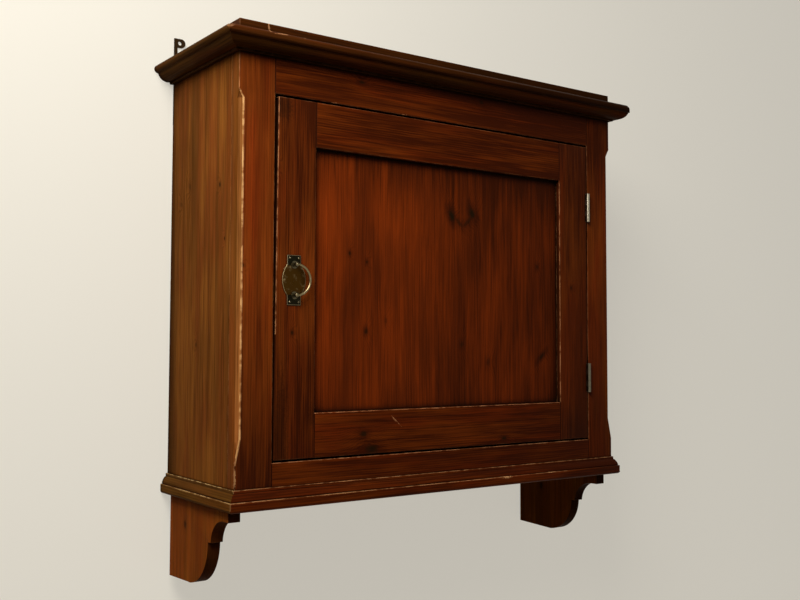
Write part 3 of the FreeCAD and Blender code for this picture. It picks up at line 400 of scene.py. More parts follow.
# %% Recipe for one chipped, scratched or smudged patch
tree, takes, gives = recipe(
    "rubbed_patch",
    {"Place": "Vector", "Middle": "Vector", "Reach": "Vector", "Turn": "Float", "Soft": "Float"},
    {"Mask": "Float"},
)
turned = lay(tree, "VectorRotate", {"Vector": takes["Place"], "Center": takes["Middle"], "Axis": (0, 1, 0),
                                    "Angle": takes["Turn"]})[0]
away = vectors(tree, "DIVIDE", vectors(tree, "SUBTRACT", turned, takes["Middle"])[0], takes["Reach"])[0]
ragged = lay(tree, "TexNoise", {"Vector": takes["Place"], "Scale": 420.0, "Detail": 3.0})[0]
reach = sums(tree, "ADD", vectors(tree, "LENGTH", away)[1], sums(tree, "MULTIPLY_ADD", ragged, 3.0, -1.5))
tree.links.new(soft_step(tree, reach, sums(tree, "ADD", takes["Soft"], 1.0), 0.5), gives["Mask"])
print("rubbed_patch has", len(tree.nodes), "nodes")

# %% [markdown]
# ## How a board lies
#
# The grain of a stile is upright and that of a rail is level. The pieces themselves could be turned to suit one
# pattern, but they stay where they were built. So the pattern is turned, and moved until the heart of the tree lies
# where it was when the board was sawn. The knots are turned and moved along with it.

# %% Turn the figure and set in the knots
LIES = {
    "upright front": (0, 0, 0),
    "upright side": (0, 0, pi / 2),
    "level front": (0, pi / 2, 0),
    "level side": (pi / 2, 0, pi / 2),
    "level flat": (-pi / 2, -pi / 2, 0),
}
WANDER = 0.010
BOARDS_APART = (0.31, 0.17, 2.3)


def use(tree, name, feeds):
    """Places a recipe in a finish, with its own values."""
    return lay(tree, "Group", feeds, node_tree=bpy.data.node_groups[name])


def board_figure(tree, spot, tone, lie, heart, ring, knots):
    """The figure of a board with its knots, which are (place, size, lean, dark), their cores and their halos."""
    place = lay(tree, "Mapping", {"Vector": spot, "Rotation": LIES[lie], "Location": (*heart, 0.0)})[0]
    turned = Euler(LIES[lie]).to_matrix()
    lift, core, halo = 0.0, 0.0, 0.0
    for middle, size, slant, dark in knots:
        middle = turned @ Vector(middle) + Vector((*heart, 0.0))
        feeds = {"Place": place, "Middle": middle, "Size": size, "Lean": slant, "Dark": dark}
        knot = use(tree, "pine_knot", feeds)
        lift = sums(tree, "ADD", lift, knot["Lift"])
        core = sums(tree, "MAXIMUM", core, knot["Core"])
        halo = sums(tree, "MAXIMUM", halo, knot["Halo"])
    apart = lay(tree, "VectorMath", {0: BOARDS_APART, "Scale": tone}, operation="SCALE")[0]
    own = vectors(tree, "ADD", place, apart)[0]
    board = use(tree, "pine_figure", {"Place": own, "Ring": ring, "Wander": WANDER, "Lift": lift})
    return {**{output.name: output for output in board}, "Core": core, "Halo": halo}


print("boards lie in", len(LIES), "ways")

# %% [markdown]
# ## Where boards are rubbed, dirty or dark
#
# Edges are rubbed where hands and dusters reach, and dirt stays where they don't. It could all be painted by hand,
# but then a board couldn't change without being painted again. So a board's faces carry a number called touch:
# above zero where an edge or a face is rubbed pale or given a pale painted reflection, below zero where a joint or
# sawn end grain is dark or a face is darkened as painted shade. Corners are found by how much open air is around
# them, and darkened with dirt and painted shade. The stain is darkened towards the right and the foot, as the
# light falls off, and towards the top, as under the cornice's shadow: all of this is painted shade.

# %% Lay out wear, dirt and depth of stain
# Painted shade: ramps that darken the stain towards the right and the foot, as the light falls off, and towards the
# top, as under the cornice's shadow.
PAINTED_SHADE_RAMPS = {"fade": ("X", -0.40, 0.40), "foot": ("Z", -0.35, -0.68), "head": ("Z", -0.30, -0.08)}


def wear_and_reflection(tree, spot, touch, wear, marks):
    """Pale bare colour in broken patches where touch says so and on each mark: wear, and one painted reflection."""
    broken = soft_step(tree, streaks(tree, spot, (1, 1, 1), 85.0, 3.0), 0.38, 0.58, 0.12, wear)
    worn = sums(tree, "MULTIPLY", soft_step(tree, touch, 0.0, 1.0), broken)
    for middle, reach, degrees in marks:
        feeds = {"Place": spot, "Middle": middle, "Reach": reach, "Turn": radians(degrees)}
        worn = sums(tree, "MAXIMUM", worn, use(tree, "rubbed_patch", feeds)["Mask"])
    return worn


def corner_shade_and_smudges(tree, spot, grime_and_shade, grime_and_shade_reach, smudges):
    """Darkness from dirt and painted shade in corners as deep as the reach, and from dirt on each smudge."""
    # Painted shade: corners found by this open-air test are darkened partly as dirt and partly for the shade there.
    open_air = lay(tree, "AmbientOcclusion", {"Distance": grime_and_shade_reach}, samples=8)["AO"]
    darkness = soft_step(tree, open_air, 0.97, 0.40, 0.0, grime_and_shade)
    for middle, reach, dark in smudges:
        smudge = use(tree, "rubbed_patch", {"Place": spot, "Middle": middle, "Reach": reach, "Soft": 2.0})["Mask"]
        darkness = sums(tree, "MAXIMUM", darkness, sums(tree, "MULTIPLY", smudge, dark))
    return darkness


def stain_depth_and_shade(tree, spot, tone, touch, fade, foot, head):
    """How deep the stain is, with painted shade: three amounts darken it to the right, downwards and upwards."""
    depth = sums(tree, "ADD", tone, soft_step(tree, touch, 0.0, -1.0, 0.0, 0.8))
    ways = lay(tree, "SeparateXYZ", {0: spot})
    for more, (way, start, end) in zip((fade, foot, head), PAINTED_SHADE_RAMPS.values()):
        depth = sums(tree, "ADD", depth, soft_step(tree, ways[way], start, end, 0.0, more))
    return depth


# These ramps are painted shade laid into the stain.
for label, (way, start, end) in PAINTED_SHADE_RAMPS.items():
    print("by", label, "the stain deepens along", way, "from", start, "to", end)

# %% [markdown]
# ## From recipe to board
#
# Each family of boards gets its own finish: how the boards lie, which stain they took and where their knots are.
# One finish for all of them would be shorter, but on the real cupboard the sides, the front and the mouldings took
# the stain in plainly different ways. A number called tone keeps two boards of one family apart.

# %% A finish for one family of boards
# The soil colour darkens corners both as dirt and as painted shade.
SOIL_AND_SHADE = {"Soil and shade": (0.0085, 0.0030, 0.0010, 1), "Knot": (0.0100, 0.0058, 0.0015, 1), "Bare": (0.50, 0.25, 0.115, 1)}


# Each finish darkens its corners as dirt and painted shade, and may darken its stain towards the right, the foot and
# the top as painted shade.
def pine(name, lie, stain, heart, ring=0.0034, figure=0.8, banding=0.3, patchy=1.1, wear=0.8, grime_and_shade=0.9,
         grime_and_shade_reach=0.02, fade=0.0, foot=0.0, head=0.0, sheen=0.028, knots=(), marks=(), smudges=()):
    """A pine finish. Knots are (place, size, lean, dark), marks (place, reach, turn) and smudges (place, reach,
    dark), in metres and degrees."""
    finish, tree, shader = new_finish(name)
    spot = lay(tree, "TexCoord", {})["Object"]
    tone = lay(tree, "Attribute", {}, attribute_name="tone")["Fac"]
    touch = lay(tree, "Attribute", {}, attribute_name="touch")["Fac"]
    wood = use(tree, "stained_wood", {
        **board_figure(tree, spot, tone, lie, heart, ring, knots),
        "Wear and reflection": wear_and_reflection(tree, spot, touch, wear, marks),
        "Grime and shade": corner_shade_and_smudges(tree, spot, grime_and_shade, grime_and_shade_reach, smudges),
        "Tone and shade": stain_depth_and_shade(tree, spot, tone, touch, fade, foot, head),
        "Figure": figure, "Banding": banding, "Patchy": patchy, **SOIL_AND_SHADE, **stain,
    })
    bump = lay(tree, "Bump", {"Height": wood["Height"], "Strength": 0.3, "Distance": 0.0005})[0]
    tree.links.new(wood["Colour"], shader.inputs["Base Color"])
    tree.links.new(wood["Rough"], shader.inputs["Roughness"])
    tree.links.new(bump, shader.inputs["Normal"])
    shader.inputs["Specular IOR Level"].default_value = sheen
    print(name, "has", len(knots), "knots,", len(marks), "marks and", len(smudges), "smudges")
    return finish


print("recipes at hand:", [group.name for group in bpy.data.node_groups])

# %% [markdown]
# ## Easing the edges
#
# A joiner takes the sharp arris off every board with a plane, and wear does the rest. A Bevel modifier would round
# the edges too, but it can't tell which of the rounds are rubbed. So each visible board is copied from its solid,
# its loose triangles are joined into whole faces, and bmesh rounds its long edges and names the new faces.

# %% Copy a solid and round its edges
def everything(shape):
    """All of a shape's corners, edges and faces."""
    return shape.verts[:] + shape.edges[:] + shape.faces[:]


def copy_solid(node):
    """A solid's shape in whole faces, with room for the marks of touch and tone."""
    shape = bmesh.new()
    for label in ("touch", "tone"):
        shape.faces.layers.float.new(label)
    shape.from_mesh(solids[node].data)
    bmesh.ops.remove_doubles(shape, verts=shape.verts, dist=1e-6)
    bmesh.ops.dissolve_limit(shape, angle_limit=radians(0.5), verts=shape.verts, edges=shape.edges)
    return shape


def round_edges(shape, width, shortest):
    """Rounds the sharp edges that are longer than the shortest, and returns the faces of the rounds."""
    sharp = [edge for edge in shape.edges
             if edge.is_manifold and edge.calc_face_angle(0.0) > radians(35) and edge.calc_length() > shortest]
    ends = list(dict.fromkeys(corner for edge in sharp for corner in edge.verts))
    rounds = bmesh.ops.bevel(shape, geom=sharp + ends, offset=width, offset_type="OFFSET", segments=2, profile=0.5,
                             affect="EDGES", clamp_overlap=False, material=-1)["faces"]
    return set(rounds)


trial = copy_solid("shelf")
print("the shelf has", len(solids["shelf"].data.polygons), "triangles, or", len(trial.faces), "whole faces")
trial.free()

# %% [markdown]
# ## A board with eased edges
#
# The copy stands for its solid, on the same moving body and with the same kind of material. How much a round is
# rubbed depends on the board: it could be a list of faces, but their numbers change with every cut. So each family
# of boards gives a rule that looks at the place of a face.

# %% Make a board with eased edges
body_of = {node: body for body, nodes in frame["record"]["behaviour"]["bodies"].items() for node in nodes}
slot_of = {piece["node"]: piece["material_slot"] for piece in frame["record"]["subparts"]}
LITTLE_WEAR = 0.35


def usual_wear(spot):
    """An edge that is rubbed a little."""
    return LITTLE_WEAR


def eased(node, *finishes, width=0.0009, tone=0.0, rub=usual_wear, touch=None, shape_up=None, shortest=0.004,
          finish_of=None, suffix="_wood"):
    """Stands for one solid, with its edges rounded by a width. rub marks the rounds and touch the other faces,
    and finish_of gives the number of a face's finish."""
    shape = copy_solid(node)
    if shape_up:
        shape_up(shape)
    for face in shape.faces:
        face.material_index = finish_of(face) if finish_of else 0
    rounds = round_edges(shape, width, shortest)
    marked, toned = shape.faces.layers.float["touch"], shape.faces.layers.float["tone"]
    for face in shape.faces:
        face[toned] = tone
        if face in rounds:
            face[marked] = rub(face.calc_center_median())
        else:
            face[marked] = touch(face) if touch else 0.0
    piece = bpy.data.objects.new(node + suffix, bpy.data.meshes.new(node + suffix))
    shape.to_mesh(piece.data)
    shape.free()
    piece.data.shade_smooth()
    piece.data.set_sharp_from_angle(angle=radians(20))
    for finish in finishes:
        piece.data.materials.append(finish)
    scene.collection.objects.link(piece)
    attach(piece, body_of[node])
    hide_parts(node)
    print(piece.name, "has", len(piece.data.polygons), "faces")


print(len(body_of), "pieces on", len(set(body_of.values())), "bodies, of", len(set(slot_of.values())), "materials")

# %% [markdown]
# ## The sides
#
# Each side is one wide board, its grain upright. The sun has bleached their stain towards yellow-brown, with dark
# greenish bands, and the varnish has gone dry. The front's finish could serve here with more fade, but a stain of
# its own comes closer to that yellow.

# %% Finish the sides
YELLOW = {"Light": (0.266, 0.090, 0.0132, 1), "Red": (0.228, 0.059, 0.0100, 1), "Dark": (0.084, 0.025, 0.0038, 1),
          "Band colour": (0.084, 0.033, 0.0056, 1)}
SIDE_BOARD = {"heart": (-0.34, 0.20), "ring": 0.0042, "figure": 0.9, "banding": 0.5, "grime_and_shade_reach": 0.04}
DRY = 0.003
left_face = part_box("side_left")[0].x
side_knots = [((left_face, y / 1000, z / 1000), size / 1000, slant, dark) for y, z, size, slant, dark in (
    (-173.7, -247.4, 2.6, 0.0, 1.0), (-190.5, -326, 1.8, 0.0, 0.9), (-69.7, -237.8, 3.4, 0.3, 0.45),
    (-40, -262, 3.0, 0.2, 0.4), (-99.6, -475.5, 2.4, 0.0, 0.7))]
side_pine = pine("side_pine", "upright side", YELLOW, **SIDE_BOARD, sheen=DRY, knots=side_knots)
for number, hand in enumerate(("left", "right")):
    eased(f"side_{hand}", side_pine, tone=0.08 * number)

# %% [markdown]
# ## The joints of a frame
#
# The face frame and the door are both made of two stiles with two rails between them. Their joints show as dark
# lines, and some of the edges are rubbed pale. They could be picked out one by one, but a rule that takes the
# frame's own measures finds them by itself and serves both frames.

# %% Find the joints of a frame
GRIP_FOOT = -0.46
CLOSE, JUST_BEHIND, OUTER_EDGE = 0.002, 0.0013, 0.005
BARE, DIM, JOINT = 1.0, -0.5, -1.0


def part_at(shape, axis, *places):
    """Parts a shape's faces where they cross planes at places along an axis."""
    across = Vector([1.0 if way == axis else 0.0 for way in "xyz"])
    for place in places:
        bmesh.ops.bisect_plane(shape, geom=everything(shape), plane_co=across * place, plane_no=across)


def joined_edges(name, pale=(), latch=LITTLE_WEAR):
    """A rule for the edges of a frame: dark where stiles meet rails, and pale on the named inner edges. The outer
    edge on the left, where a door is taken hold of, has its own share, and is dark below the grip."""
    stile_low, stile_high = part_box(f"{name}_stile_left")
    inner = {"left": stile_high.x, "right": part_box(f"{name}_stile_right")[0].x}
    sight = {"bottom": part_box(f"{name}_rail_bottom")[1].z, "top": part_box(f"{name}_rail_top")[0].z}

    def rule(spot):
        if spot.x < stile_low.x + OUTER_EDGE:
            return latch if spot.z > GRIP_FOOT else DIM
        beside = {hand: abs(spot.x - x) < CLOSE for hand, x in inner.items()}
        beside.update({end: abs(spot.z - z) < CLOSE for end, z in sight.items()})
        if (beside["left"] or beside["right"]) and not sight["bottom"] - CLOSE < spot.z < sight["top"] + CLOSE:
            return JOINT
        return BARE if any(beside[edge] for edge in pale) else LITTLE_WEAR

    def split(shape):
        """Parts a stile's faces where the rails meet it and just behind its front, so that each has its own wear."""
        part_at(shape, "z", GRIP_FOOT, *sight.values())
        part_at(shape, "y", stile_low.y + JUST_BEHIND)

    print(name, "rails meet its stiles at", [round(height, 4) for height in sight.values()])
    return rule, split


frame_wear, split_frame = joined_edges("face", pale=("bottom",))

# %% [markdown]
# ## Chamfers on the outer corners
#
# The stiles' outer corners have stopped chamfers. Hands and cloths have rubbed their front arris bare, and so is the
# corner below them, while the stop above, which faces down, is darkened as painted shade. A worn look could come
# from a curvature mask, but that would wear all the edges alike. So three short rules go by the place of a face and
# the way it faces.

# %% Mark the chamfers
CHAMFER_START = 0.358
CHAMFER_FOOT, CHAMFER_HEAD = -0.63, -0.125
ARRIS, BROAD_ROUND = 0.0014, 0.0012
# Dark dust on the back boards' joints, and painted shade on the chamfer stops that face down.
DUST_AND_SHADE = -0.8
front_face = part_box("face_rail_top")[0].y


def on_arris(spot):
    """Whether a place lies on the front arris of a chamfer."""
    return CHAMFER_START < abs(spot.x) and CHAMFER_FOOT < spot.z < CHAMFER_HEAD and spot.y < front_face + ARRIS


def chamfer_wear(spot):
    """The frame's wear, with the front arris of the chamfer and the corner below it rubbed bare."""
    if abs(spot.x) < CHAMFER_START:
        return frame_wear(spot)
    if on_arris(spot):
        return BARE
    if spot.y > front_face + BROAD_ROUND:
        return 0.0
    return BARE if spot.z < CHAMFER_FOOT else 0.4


def chamfer_touch(face):
    """The narrow strip beside that arris is bare too; the stop above it faces down and gets painted shade."""
    spot = face.calc_center_median()
    # Painted shade: the stop facing down is darkened.
    if abs(spot.x) > CHAMFER_START and -0.9 < face.normal.z < -0.1:
        return DUST_AND_SHADE
    return BARE if on_arris(spot) and 0.3 < abs(face.normal.x) < 0.9 else 0.0


print("the chamfers are", round(CHAMFER_HEAD - CHAMFER_FOOT, 3), "m long on the front face at", round(front_face, 4))

# %% [markdown]
# ## Parting the stiles
#
# At its foot a chamfer runs out slowly, as a drawknife leaves it. The stop could be cut anew, but moving the corners
# at its end along the stile does the same and keeps the stile one piece. Then a stile is parted lengthwise and
# where the rails meet it, so that its front, its outer edge and its chamfer can each have their own finish.

# %% Part the stiles
FOOT_RUN, SHORT_RUN, SIDE_STRIP = 0.022, 0.013, 0.0022
chamfer_back = abs(left_face) - SIDE_STRIP
stop_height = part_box("face_rail_bottom")[1].z + SHORT_RUN


def split_stile(shape):
    """Lets a chamfer run out more slowly at its foot, then parts a stile like the other boards of the frame, and its
    chamfers lengthwise near the side."""
    ends = [corner for corner in shape.verts
            if abs(corner.co.x) > CHAMFER_START and abs(corner.co.z - stop_height) < CLOSE]
    print(len(ends), "corners of a chamfer's foot")
    bmesh.ops.translate(shape, verts=ends, vec=(0, 0, FOOT_RUN))
    split_frame(shape)
    part_at(shape, "x", -chamfer_back, chamfer_back)


def stile_finish(face):
    """The front of a stile is red, its outer edge has the colour of the sides, and its chamfer is rubbed."""
    across = abs(face.calc_center_median().x)
    if across < CHAMFER_START or abs(face.normal.x) < 0.3:
        return 0
    return 2 if face.normal.y < -0.3 and across < chamfer_back else 1


print("the chamfers run out below", round(stop_height + FOOT_RUN, 4), "and are parted at", round(chamfer_back, 4))

# %% [markdown]
# ## The stiles of the face frame
#
# The stiles are upright boards with a red-brown front, an outer edge as yellow as the sides and a pale chamfer. Three
# boards glued together would give hard seams. So each stile stays one board with three finishes on its faces, and
# their figure runs on round the corner.

# %% Finish the stiles
UPRIGHT = {"Light": (0.225, 0.0460, 0.0056, 1), "Red": (0.205, 0.0310, 0.0040, 1),
           "Dark": (0.042, 0.0073, 0.0013, 1), "Band colour": (0.060, 0.0116, 0.0022, 1)}
RUBBED = {"Light": (0.390, 0.150, 0.0360, 1), "Red": (0.340, 0.112, 0.0260, 1), "Dark": (0.130, 0.038, 0.0080, 1),
          "Band colour": (0.190, 0.074, 0.0170, 1), "Bare": (0.84, 0.50, 0.21, 1)}
STILE_HEART = (0.52, 0.15)


def knots_on_front(y, spots):
    """Knots on a plane that faces forward, from places across and up in millimetres."""
    return [((x / 1000, y, z / 1000), size / 1000, slant, dark) for x, z, size, slant, dark in spots]


upright_knots = knots_on_front(front_face, (
    (-282.8, -458.1, 2.2, 0, 0.9), (-309.4, -222.5, 2.0, 0, 0.7), (-360.7, -365.4, 1.8, 0, 0.8),
    (272, -374.6, 2.2, 0, 0.8)))
corner_marks = [((left_face, front_face, -0.655), (0.0018, 0.004, 0.022), 0)]
rubbed_pine = pine("rubbed_pine", "upright side", RUBBED, heart=SIDE_BOARD["heart"], figure=1.5, wear=1.0, sheen=DRY)
# Painted shade: the stiles' stain darkens towards the foot and the right, and on the right stile at its top too.
left_red = pine("left_red_pine", "upright front", {**UPRIGHT, "Bare": RUBBED["Bare"]}, heart=STILE_HEART, fade=0.10,
                foot=0.5, knots=upright_knots, marks=corner_marks)
right_red = pine("right_red_pine", "upright front", UPRIGHT, heart=STILE_HEART, fade=0.10, foot=0.30, head=0.5)
edge_pine = pine("side_edge_pine", "upright side", {**YELLOW, "Light": (0.222, 0.068, 0.0110, 1)}, **SIDE_BOARD,
                 sheen=DRY, marks=corner_marks)
for number, (hand, red) in enumerate((("left", left_red), ("right", right_red))):
    eased(f"face_stile_{hand}", red, edge_pine, rubbed_pine, width=BROAD_ROUND, tone=-0.14 - 0.04 * number,
          rub=chamfer_wear, touch=chamfer_touch, shape_up=split_stile, finish_of=stile_finish)

# %% [markdown]
# ## The rails of the face frame
#
# The two rails lie level between the stiles. The lower edge of the top rail has lost two flakes of its finish. The
# stiles' finish could be turned for them, but the rails took the stain a little redder, so they get their own.

# %% Finish the rails
RED = {"Light": (0.225, 0.042, 0.0040, 1), "Red": (0.205, 0.028, 0.0028, 1), "Dark": (0.042, 0.0066, 0.0009, 1),
       "Band colour": (0.060, 0.0105, 0.0016, 1)}
RAIL_HEART = (0.31, 0.12)
# Painted shade: the rails' stain darkens towards the right.
level_red = pine(
    "level_red_pine", "level front", RED, heart=RAIL_HEART, fade=0.16,
    knots=knots_on_front(front_face, ((-166.5, -79.6, 3, 0, 0.8), (68.5, -76.5, 3, 0, 0.8))),
    marks=[((-0.2139, front_face, -0.119), (0.005, 0.004, 0.0016), 0),
           ((-0.0864, front_face, -0.119), (0.006, 0.004, 0.0016), 0)],
)
for number, end in enumerate(("top", "bottom")):
    eased(f"face_rail_{end}", level_red, tone=0.40 - 0.10 * number, rub=frame_wear)

# %% [markdown]
# ## The frame of the door
#
# The door's stiles and rails hold a panel in a groove. Dusters have rubbed the edges below and to the right of the
# panel, and hands the free edge. Dark smudges sit at the foot and the head of the left stile. One big texture could
# hold all that, but then the grain would run through the joints. So stiles and rails have a finish each.

# %% Finish the frame of the door
DOOR_ROUND = 0.0011
door_wear, split_door = joined_edges("door", pale=("bottom", "right"), latch=0.9)
# Painted shade: the door stiles' stain darkens towards the right, the foot and the top.
upright_red = pine("upright_red_pine", "upright front", UPRIGHT, heart=STILE_HEART, fade=0.10, foot=0.28, head=0.24,
                   knots=upright_knots, smudges=[((-0.300, front_face, -0.600), (0.006, 0.020, 0.040), 0.50),
                                                 ((-0.245, front_face, -0.575), (0.005, 0.020, 0.010), 0.50),
                                                 ((-0.300, front_face, -0.135), (0.008, 0.020, 0.010), 0.60)])
for number, hand in enumerate(("left", "right")):
    eased(f"door_stile_{hand}", upright_red, width=DOOR_ROUND, tone=0.10 + 0.02 * number, rub=door_wear,
          shape_up=split_door)
# Painted shade: the door rails' stain darkens towards the right and the foot.
door_level_red = pine(
    "door_level_red_pine", "level front", RED, heart=RAIL_HEART, fade=0.30, foot=0.12,
    knots=knots_on_front(front_face, (
        (-160.6, -606.3, 4.4, 0, 0.9), (-145.3, -629.2, 7.0, 0, 0.9), (115.6, -626.5, 3.5, 0, 0.8))),
    marks=[((-0.1015, front_face, -0.589), (0.010, 0.004, 0.0006), -43),
           ((-0.1045, front_face, -0.588), (0.006, 0.004, 0.0004), -50)],
)
for number, end in enumerate(("top", "bottom")):
    eased(f"door_rail_{end}", door_level_red, width=DOOR_ROUND, tone=0.30 - 0.24 * number, rub=door_wear)

# %% [markdown]
# ## The panel of the door
#
# The panel is one wide, thin board, redder than its frame, with a pair of knots like eyes near its top. Its edges
# are hidden in the groove, so it could be a copy with eased edges or just its solid. The solid is enough.

# %% Finish the panel
def finished(node, finish):
    """Gives a solid that needs no easing its finish."""
    solids[node].data.materials.clear()
    solids[node].data.materials.append(finish)
    print(node, "is finished as", finish.name)


panel_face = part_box("door_panel")[0].y
# Painted shade: the panel's stain darkens towards the right, the foot and most of all the top, and its edges in the
# groove are darkened widely as dirt and painted shade.
panel_red = pine(
    "panel_red_pine", "upright front", {**UPRIGHT, "Light": (0.315, 0.045, 0.0045, 1)}, heart=(0.33, 0.21),
    figure=0.55, banding=0.06, patchy=0.75, grime_and_shade=1.2, grime_and_shade_reach=0.05, fade=0.36, foot=0.12, head=0.62,
    knots=knots_on_front(panel_face, (
        (13.8, -267.4, 6.0, 0.3, 1), (55.5, -260, 6.0, 0.3, 1), (28, -277, 5, 0.8, 0.6), (46, -275, 5, -0.8, 0.6),
        (-181, -338, 2.2, 0, 0.9), (-150, -350, 2, 0, 0.8), (-151, -454, 3.2, 0, 0.9), (-115, -438, 3, 0, 0.4),
        (34, -473, 3.4, 0, 0.5), (89, -502, 4, 0, 0.5), (210, -493, 4.4, -0.8, 0.8), (200, -341, 2.8, 0, 0.6))),
    smudges=[((-0.246, panel_face, -0.190), (0.010, 0.020, 0.008), 0.75)],
)
finished("door_panel", panel_red)

# %% [markdown]
# ## Knocks on the cornice
#
# The cornice is mitred round the two front corners of the cupboard. Its right corner has been knocked so often that
# the lip is round there, and the left mitre has lost a chip. A boolean could cut these, but it needs a second
# shape for each cut. A bisecting plane with one side cleared works as a rasp does, one stroke at a time.

# %% Knock the corners of the cornice
cornice_low, cornice_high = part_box("cornice_front")
right_corner = Vector((cornice_high.x, cornice_low.y, cornice_high.z))
left_corner = Vector((cornice_low.x, cornice_low.y, cornice_high.z))
chip = Vector((-0.8, -1.0, 1.6)).normalized()
knocks = [(Vector((0.6, -0.6, 1.0)).normalized(), 0.0087), (Vector((1.5, -1.5, 1.0)).normalized(), 0.0085)]


def plane_off(shape, place, facing):
    """Cuts away what lies in front of a plane, and closes the cut."""
    cut = bmesh.ops.bisect_plane(shape, geom=everything(shape), plane_co=place, plane_no=facing, clear_outer=True)
    rim = [part for part in cut["geom_cut"] if isinstance(part, bmesh.types.BMEdge)]
    if rim:
        bmesh.ops.holes_fill(shape, edges=rim)


def round_corner(shape, corner, radius, cuts):
    """Wears an upright corner of the cornice round."""
    outward = 1 if corner.x > 0 else -1
    middle = corner + Vector((-outward * radius, radius, 0))
    for count in range(1, cuts + 1):
        angle = pi / 2 * count / (cuts + 1)
        facing = Vector((outward * sin(angle), -cos(angle), 0))
        plane_off(shape, middle + facing * radius, facing)


def knocked_cornice(shape):
    """Rounds the lip's right corner, eases the left one and takes a chip out of the left mitre."""
    round_corner(shape, right_corner, 0.016, cuts=5)
    for facing, depth in knocks:
        plane_off(shape, right_corner - facing * depth, facing)
    round_corner(shape, left_corner, 0.004, cuts=3)
    plane_off(shape, left_corner - chip * 0.0065, chip)


print("the corners of the cornice are", round(right_corner.x - left_corner.x, 4), "m apart")

# %% [markdown]
# ## The lip of the cornice
#
# The lip is the round member at the top of the cornice. It sticks out furthest, so it has been handled most and is
# browner than the rest. It is no piece of its own and can't be picked by name, so its faces are found by their place.

# %% Find the lip
LIP_DEPTH, LIP_FOOT, FILLET = 0.006, 0.0140, 0.003


def on_lip(spot):
    """Whether a place lies on the lip, the round member at the top of the cornice."""
    outer = spot.y < cornice_low.y + LIP_DEPTH or abs(spot.x) > cornice_high.x - LIP_DEPTH
    return outer and spot.z > cornice_low.z + LIP_FOOT


def cornice_wear(spot):
    """The lip's edges are rubbed; the others only a little."""
    return 0.5 if on_lip(spot) else 0.2


def lip_finish(face):
    """The lip has been handled and is browner than the rest."""
    return 1 if on_lip(face.calc_center_median()) and face.normal.z < 0.95 else 0


def cornice_touch(face):
    """The chip shows bare wood, and the narrow upright face at the cornice's foot has a pale painted reflection."""
    if face.normal.dot(chip) > 0.999:
        return 0.6
    # Painted reflection: the upright face at the foot of the cornice gets a little pale bare colour.
    return 0.3 if abs(face.normal.z) < 0.1 and face.calc_center_median().z < cornice_low.z + FILLET else 0.0


print("the lip is", round(cornice_high.z - cornice_low.z - LIP_FOOT, 4), "m high")

# %% [markdown]
# ## The top board
#
# The top board shows its front edge above the cornice. It could be plain, since little of it shows from the front,
# but it is seen whole from above. So it has the figure of a broad flat board, stained almost black.

# %% Finish the top board
BLACK = {"Light": (0.080, 0.0250, 0.0040, 1), "Red": (0.086, 0.0170, 0.0026, 1), "Dark": (0.019, 0.0060, 0.0011, 1),
         "Band colour": (0.036, 0.0122, 0.0022, 1)}
# Painted shade: the top board's stain darkens towards the right.
top_red = pine("top_red_pine", "level flat", {**BLACK, "Light": (0.075, 0.019, 0.0030, 1)}, heart=(0.2, 0.1),
               fade=0.6, wear=0.6, sheen=0.012,
               marks=[((-0.324, front_face, -0.026), (0.0016, 0.004, 0.006), 8)])
eased("top_board", top_red, width=BROAD_ROUND)

# %% [markdown]
# ## The cornice
#
# The cornice is run in one length and mitred, so its grain turns the corner with it. One finish for all three
# lengths would send the grain of the sides across them. So the front and the sides have a pair of finishes each,
# one for the body and one for the lip.

# %% Finish the cornice
LIP = {**BLACK, "Light": (0.078, 0.0215, 0.0036, 1), "Red": (0.082, 0.0162, 0.0026, 1),
       "Dark": (0.022, 0.0062, 0.0012, 1)}
BROWN = {**BLACK, "Light": (0.088, 0.0330, 0.0052, 1), "Red": (0.092, 0.0235, 0.0034, 1),
         "Dark": (0.021, 0.0082, 0.0014, 1)}
DULL = 0.004
lip_marks = [((-0.3365, cornice_low.y, -0.0405), (0.0022, 0.008, 0.0030), 0),
             ((-0.318, cornice_low.y, -0.0425), (0.014, 0.008, 0.0010), 6),
             ((-0.283, cornice_low.y, -0.0405), (0.0022, 0.008, 0.0026), 0)]
cornice_finishes = {}
# Painted shade: the lip's stain darkens towards the right.
for side, body_stain, lip_stain, sheen, marks in (
    ("front", BLACK, LIP, 0.012, lip_marks), ("side", BROWN, BROWN, DULL, ()),
):
    cornice_finishes[side] = [
        pine(f"cornice_{side}_pine", f"level {side}", body_stain, heart=(0.1, 0.1), wear=0.6, sheen=sheen),
        pine(f"lip_{side}_pine", f"level {side}", lip_stain, heart=(0.1, 0.1), fade=0.75, wear=0.6, sheen=sheen,
             marks=marks),
    ]
for hand, side in (("front", "front"), ("left", "side"), ("right", "side")):
    eased(f"cornice_{hand}", *cornice_finishes[side], width=0.0006, rub=cornice_wear, touch=cornice_touch,
          shape_up=knocked_cornice, finish_of=lip_finish)

# %% [markdown]
# ## Wear on the base
#
# The base board stands out on three sides with a softly rounded edge, and a small moulding is planted on it. Dusters
# have rubbed their upper edges, most of all on the left. One long face can have only one number, and a gradient over
# it would need many small ones. So the board is parted in three, and each part has its own wear.

# %% Mark the base
BASE_PARTS = (0.1, 0.25)
mould_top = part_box("base_mould_front")[1].z
base_front, base_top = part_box("base_board")[0].y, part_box("base_board")[1].z


def mould_wear(spot):
    """The moulding's top edge is rubbed by dusters."""
    return 0.9 if spot.z > mould_top - 0.0025 else 0.1


def base_touch(face):
    """The round along the top of the base board's edge is bare, except near its right end."""
    spot = face.calc_center_median()
    if not 0.2 < face.normal.z < 0.97 or spot.z < base_top - 0.0016:
        return 0.0
    return 0.65 if spot.x < BASE_PARTS[0] else 0.4 if spot.x < BASE_PARTS[1] else 0.1


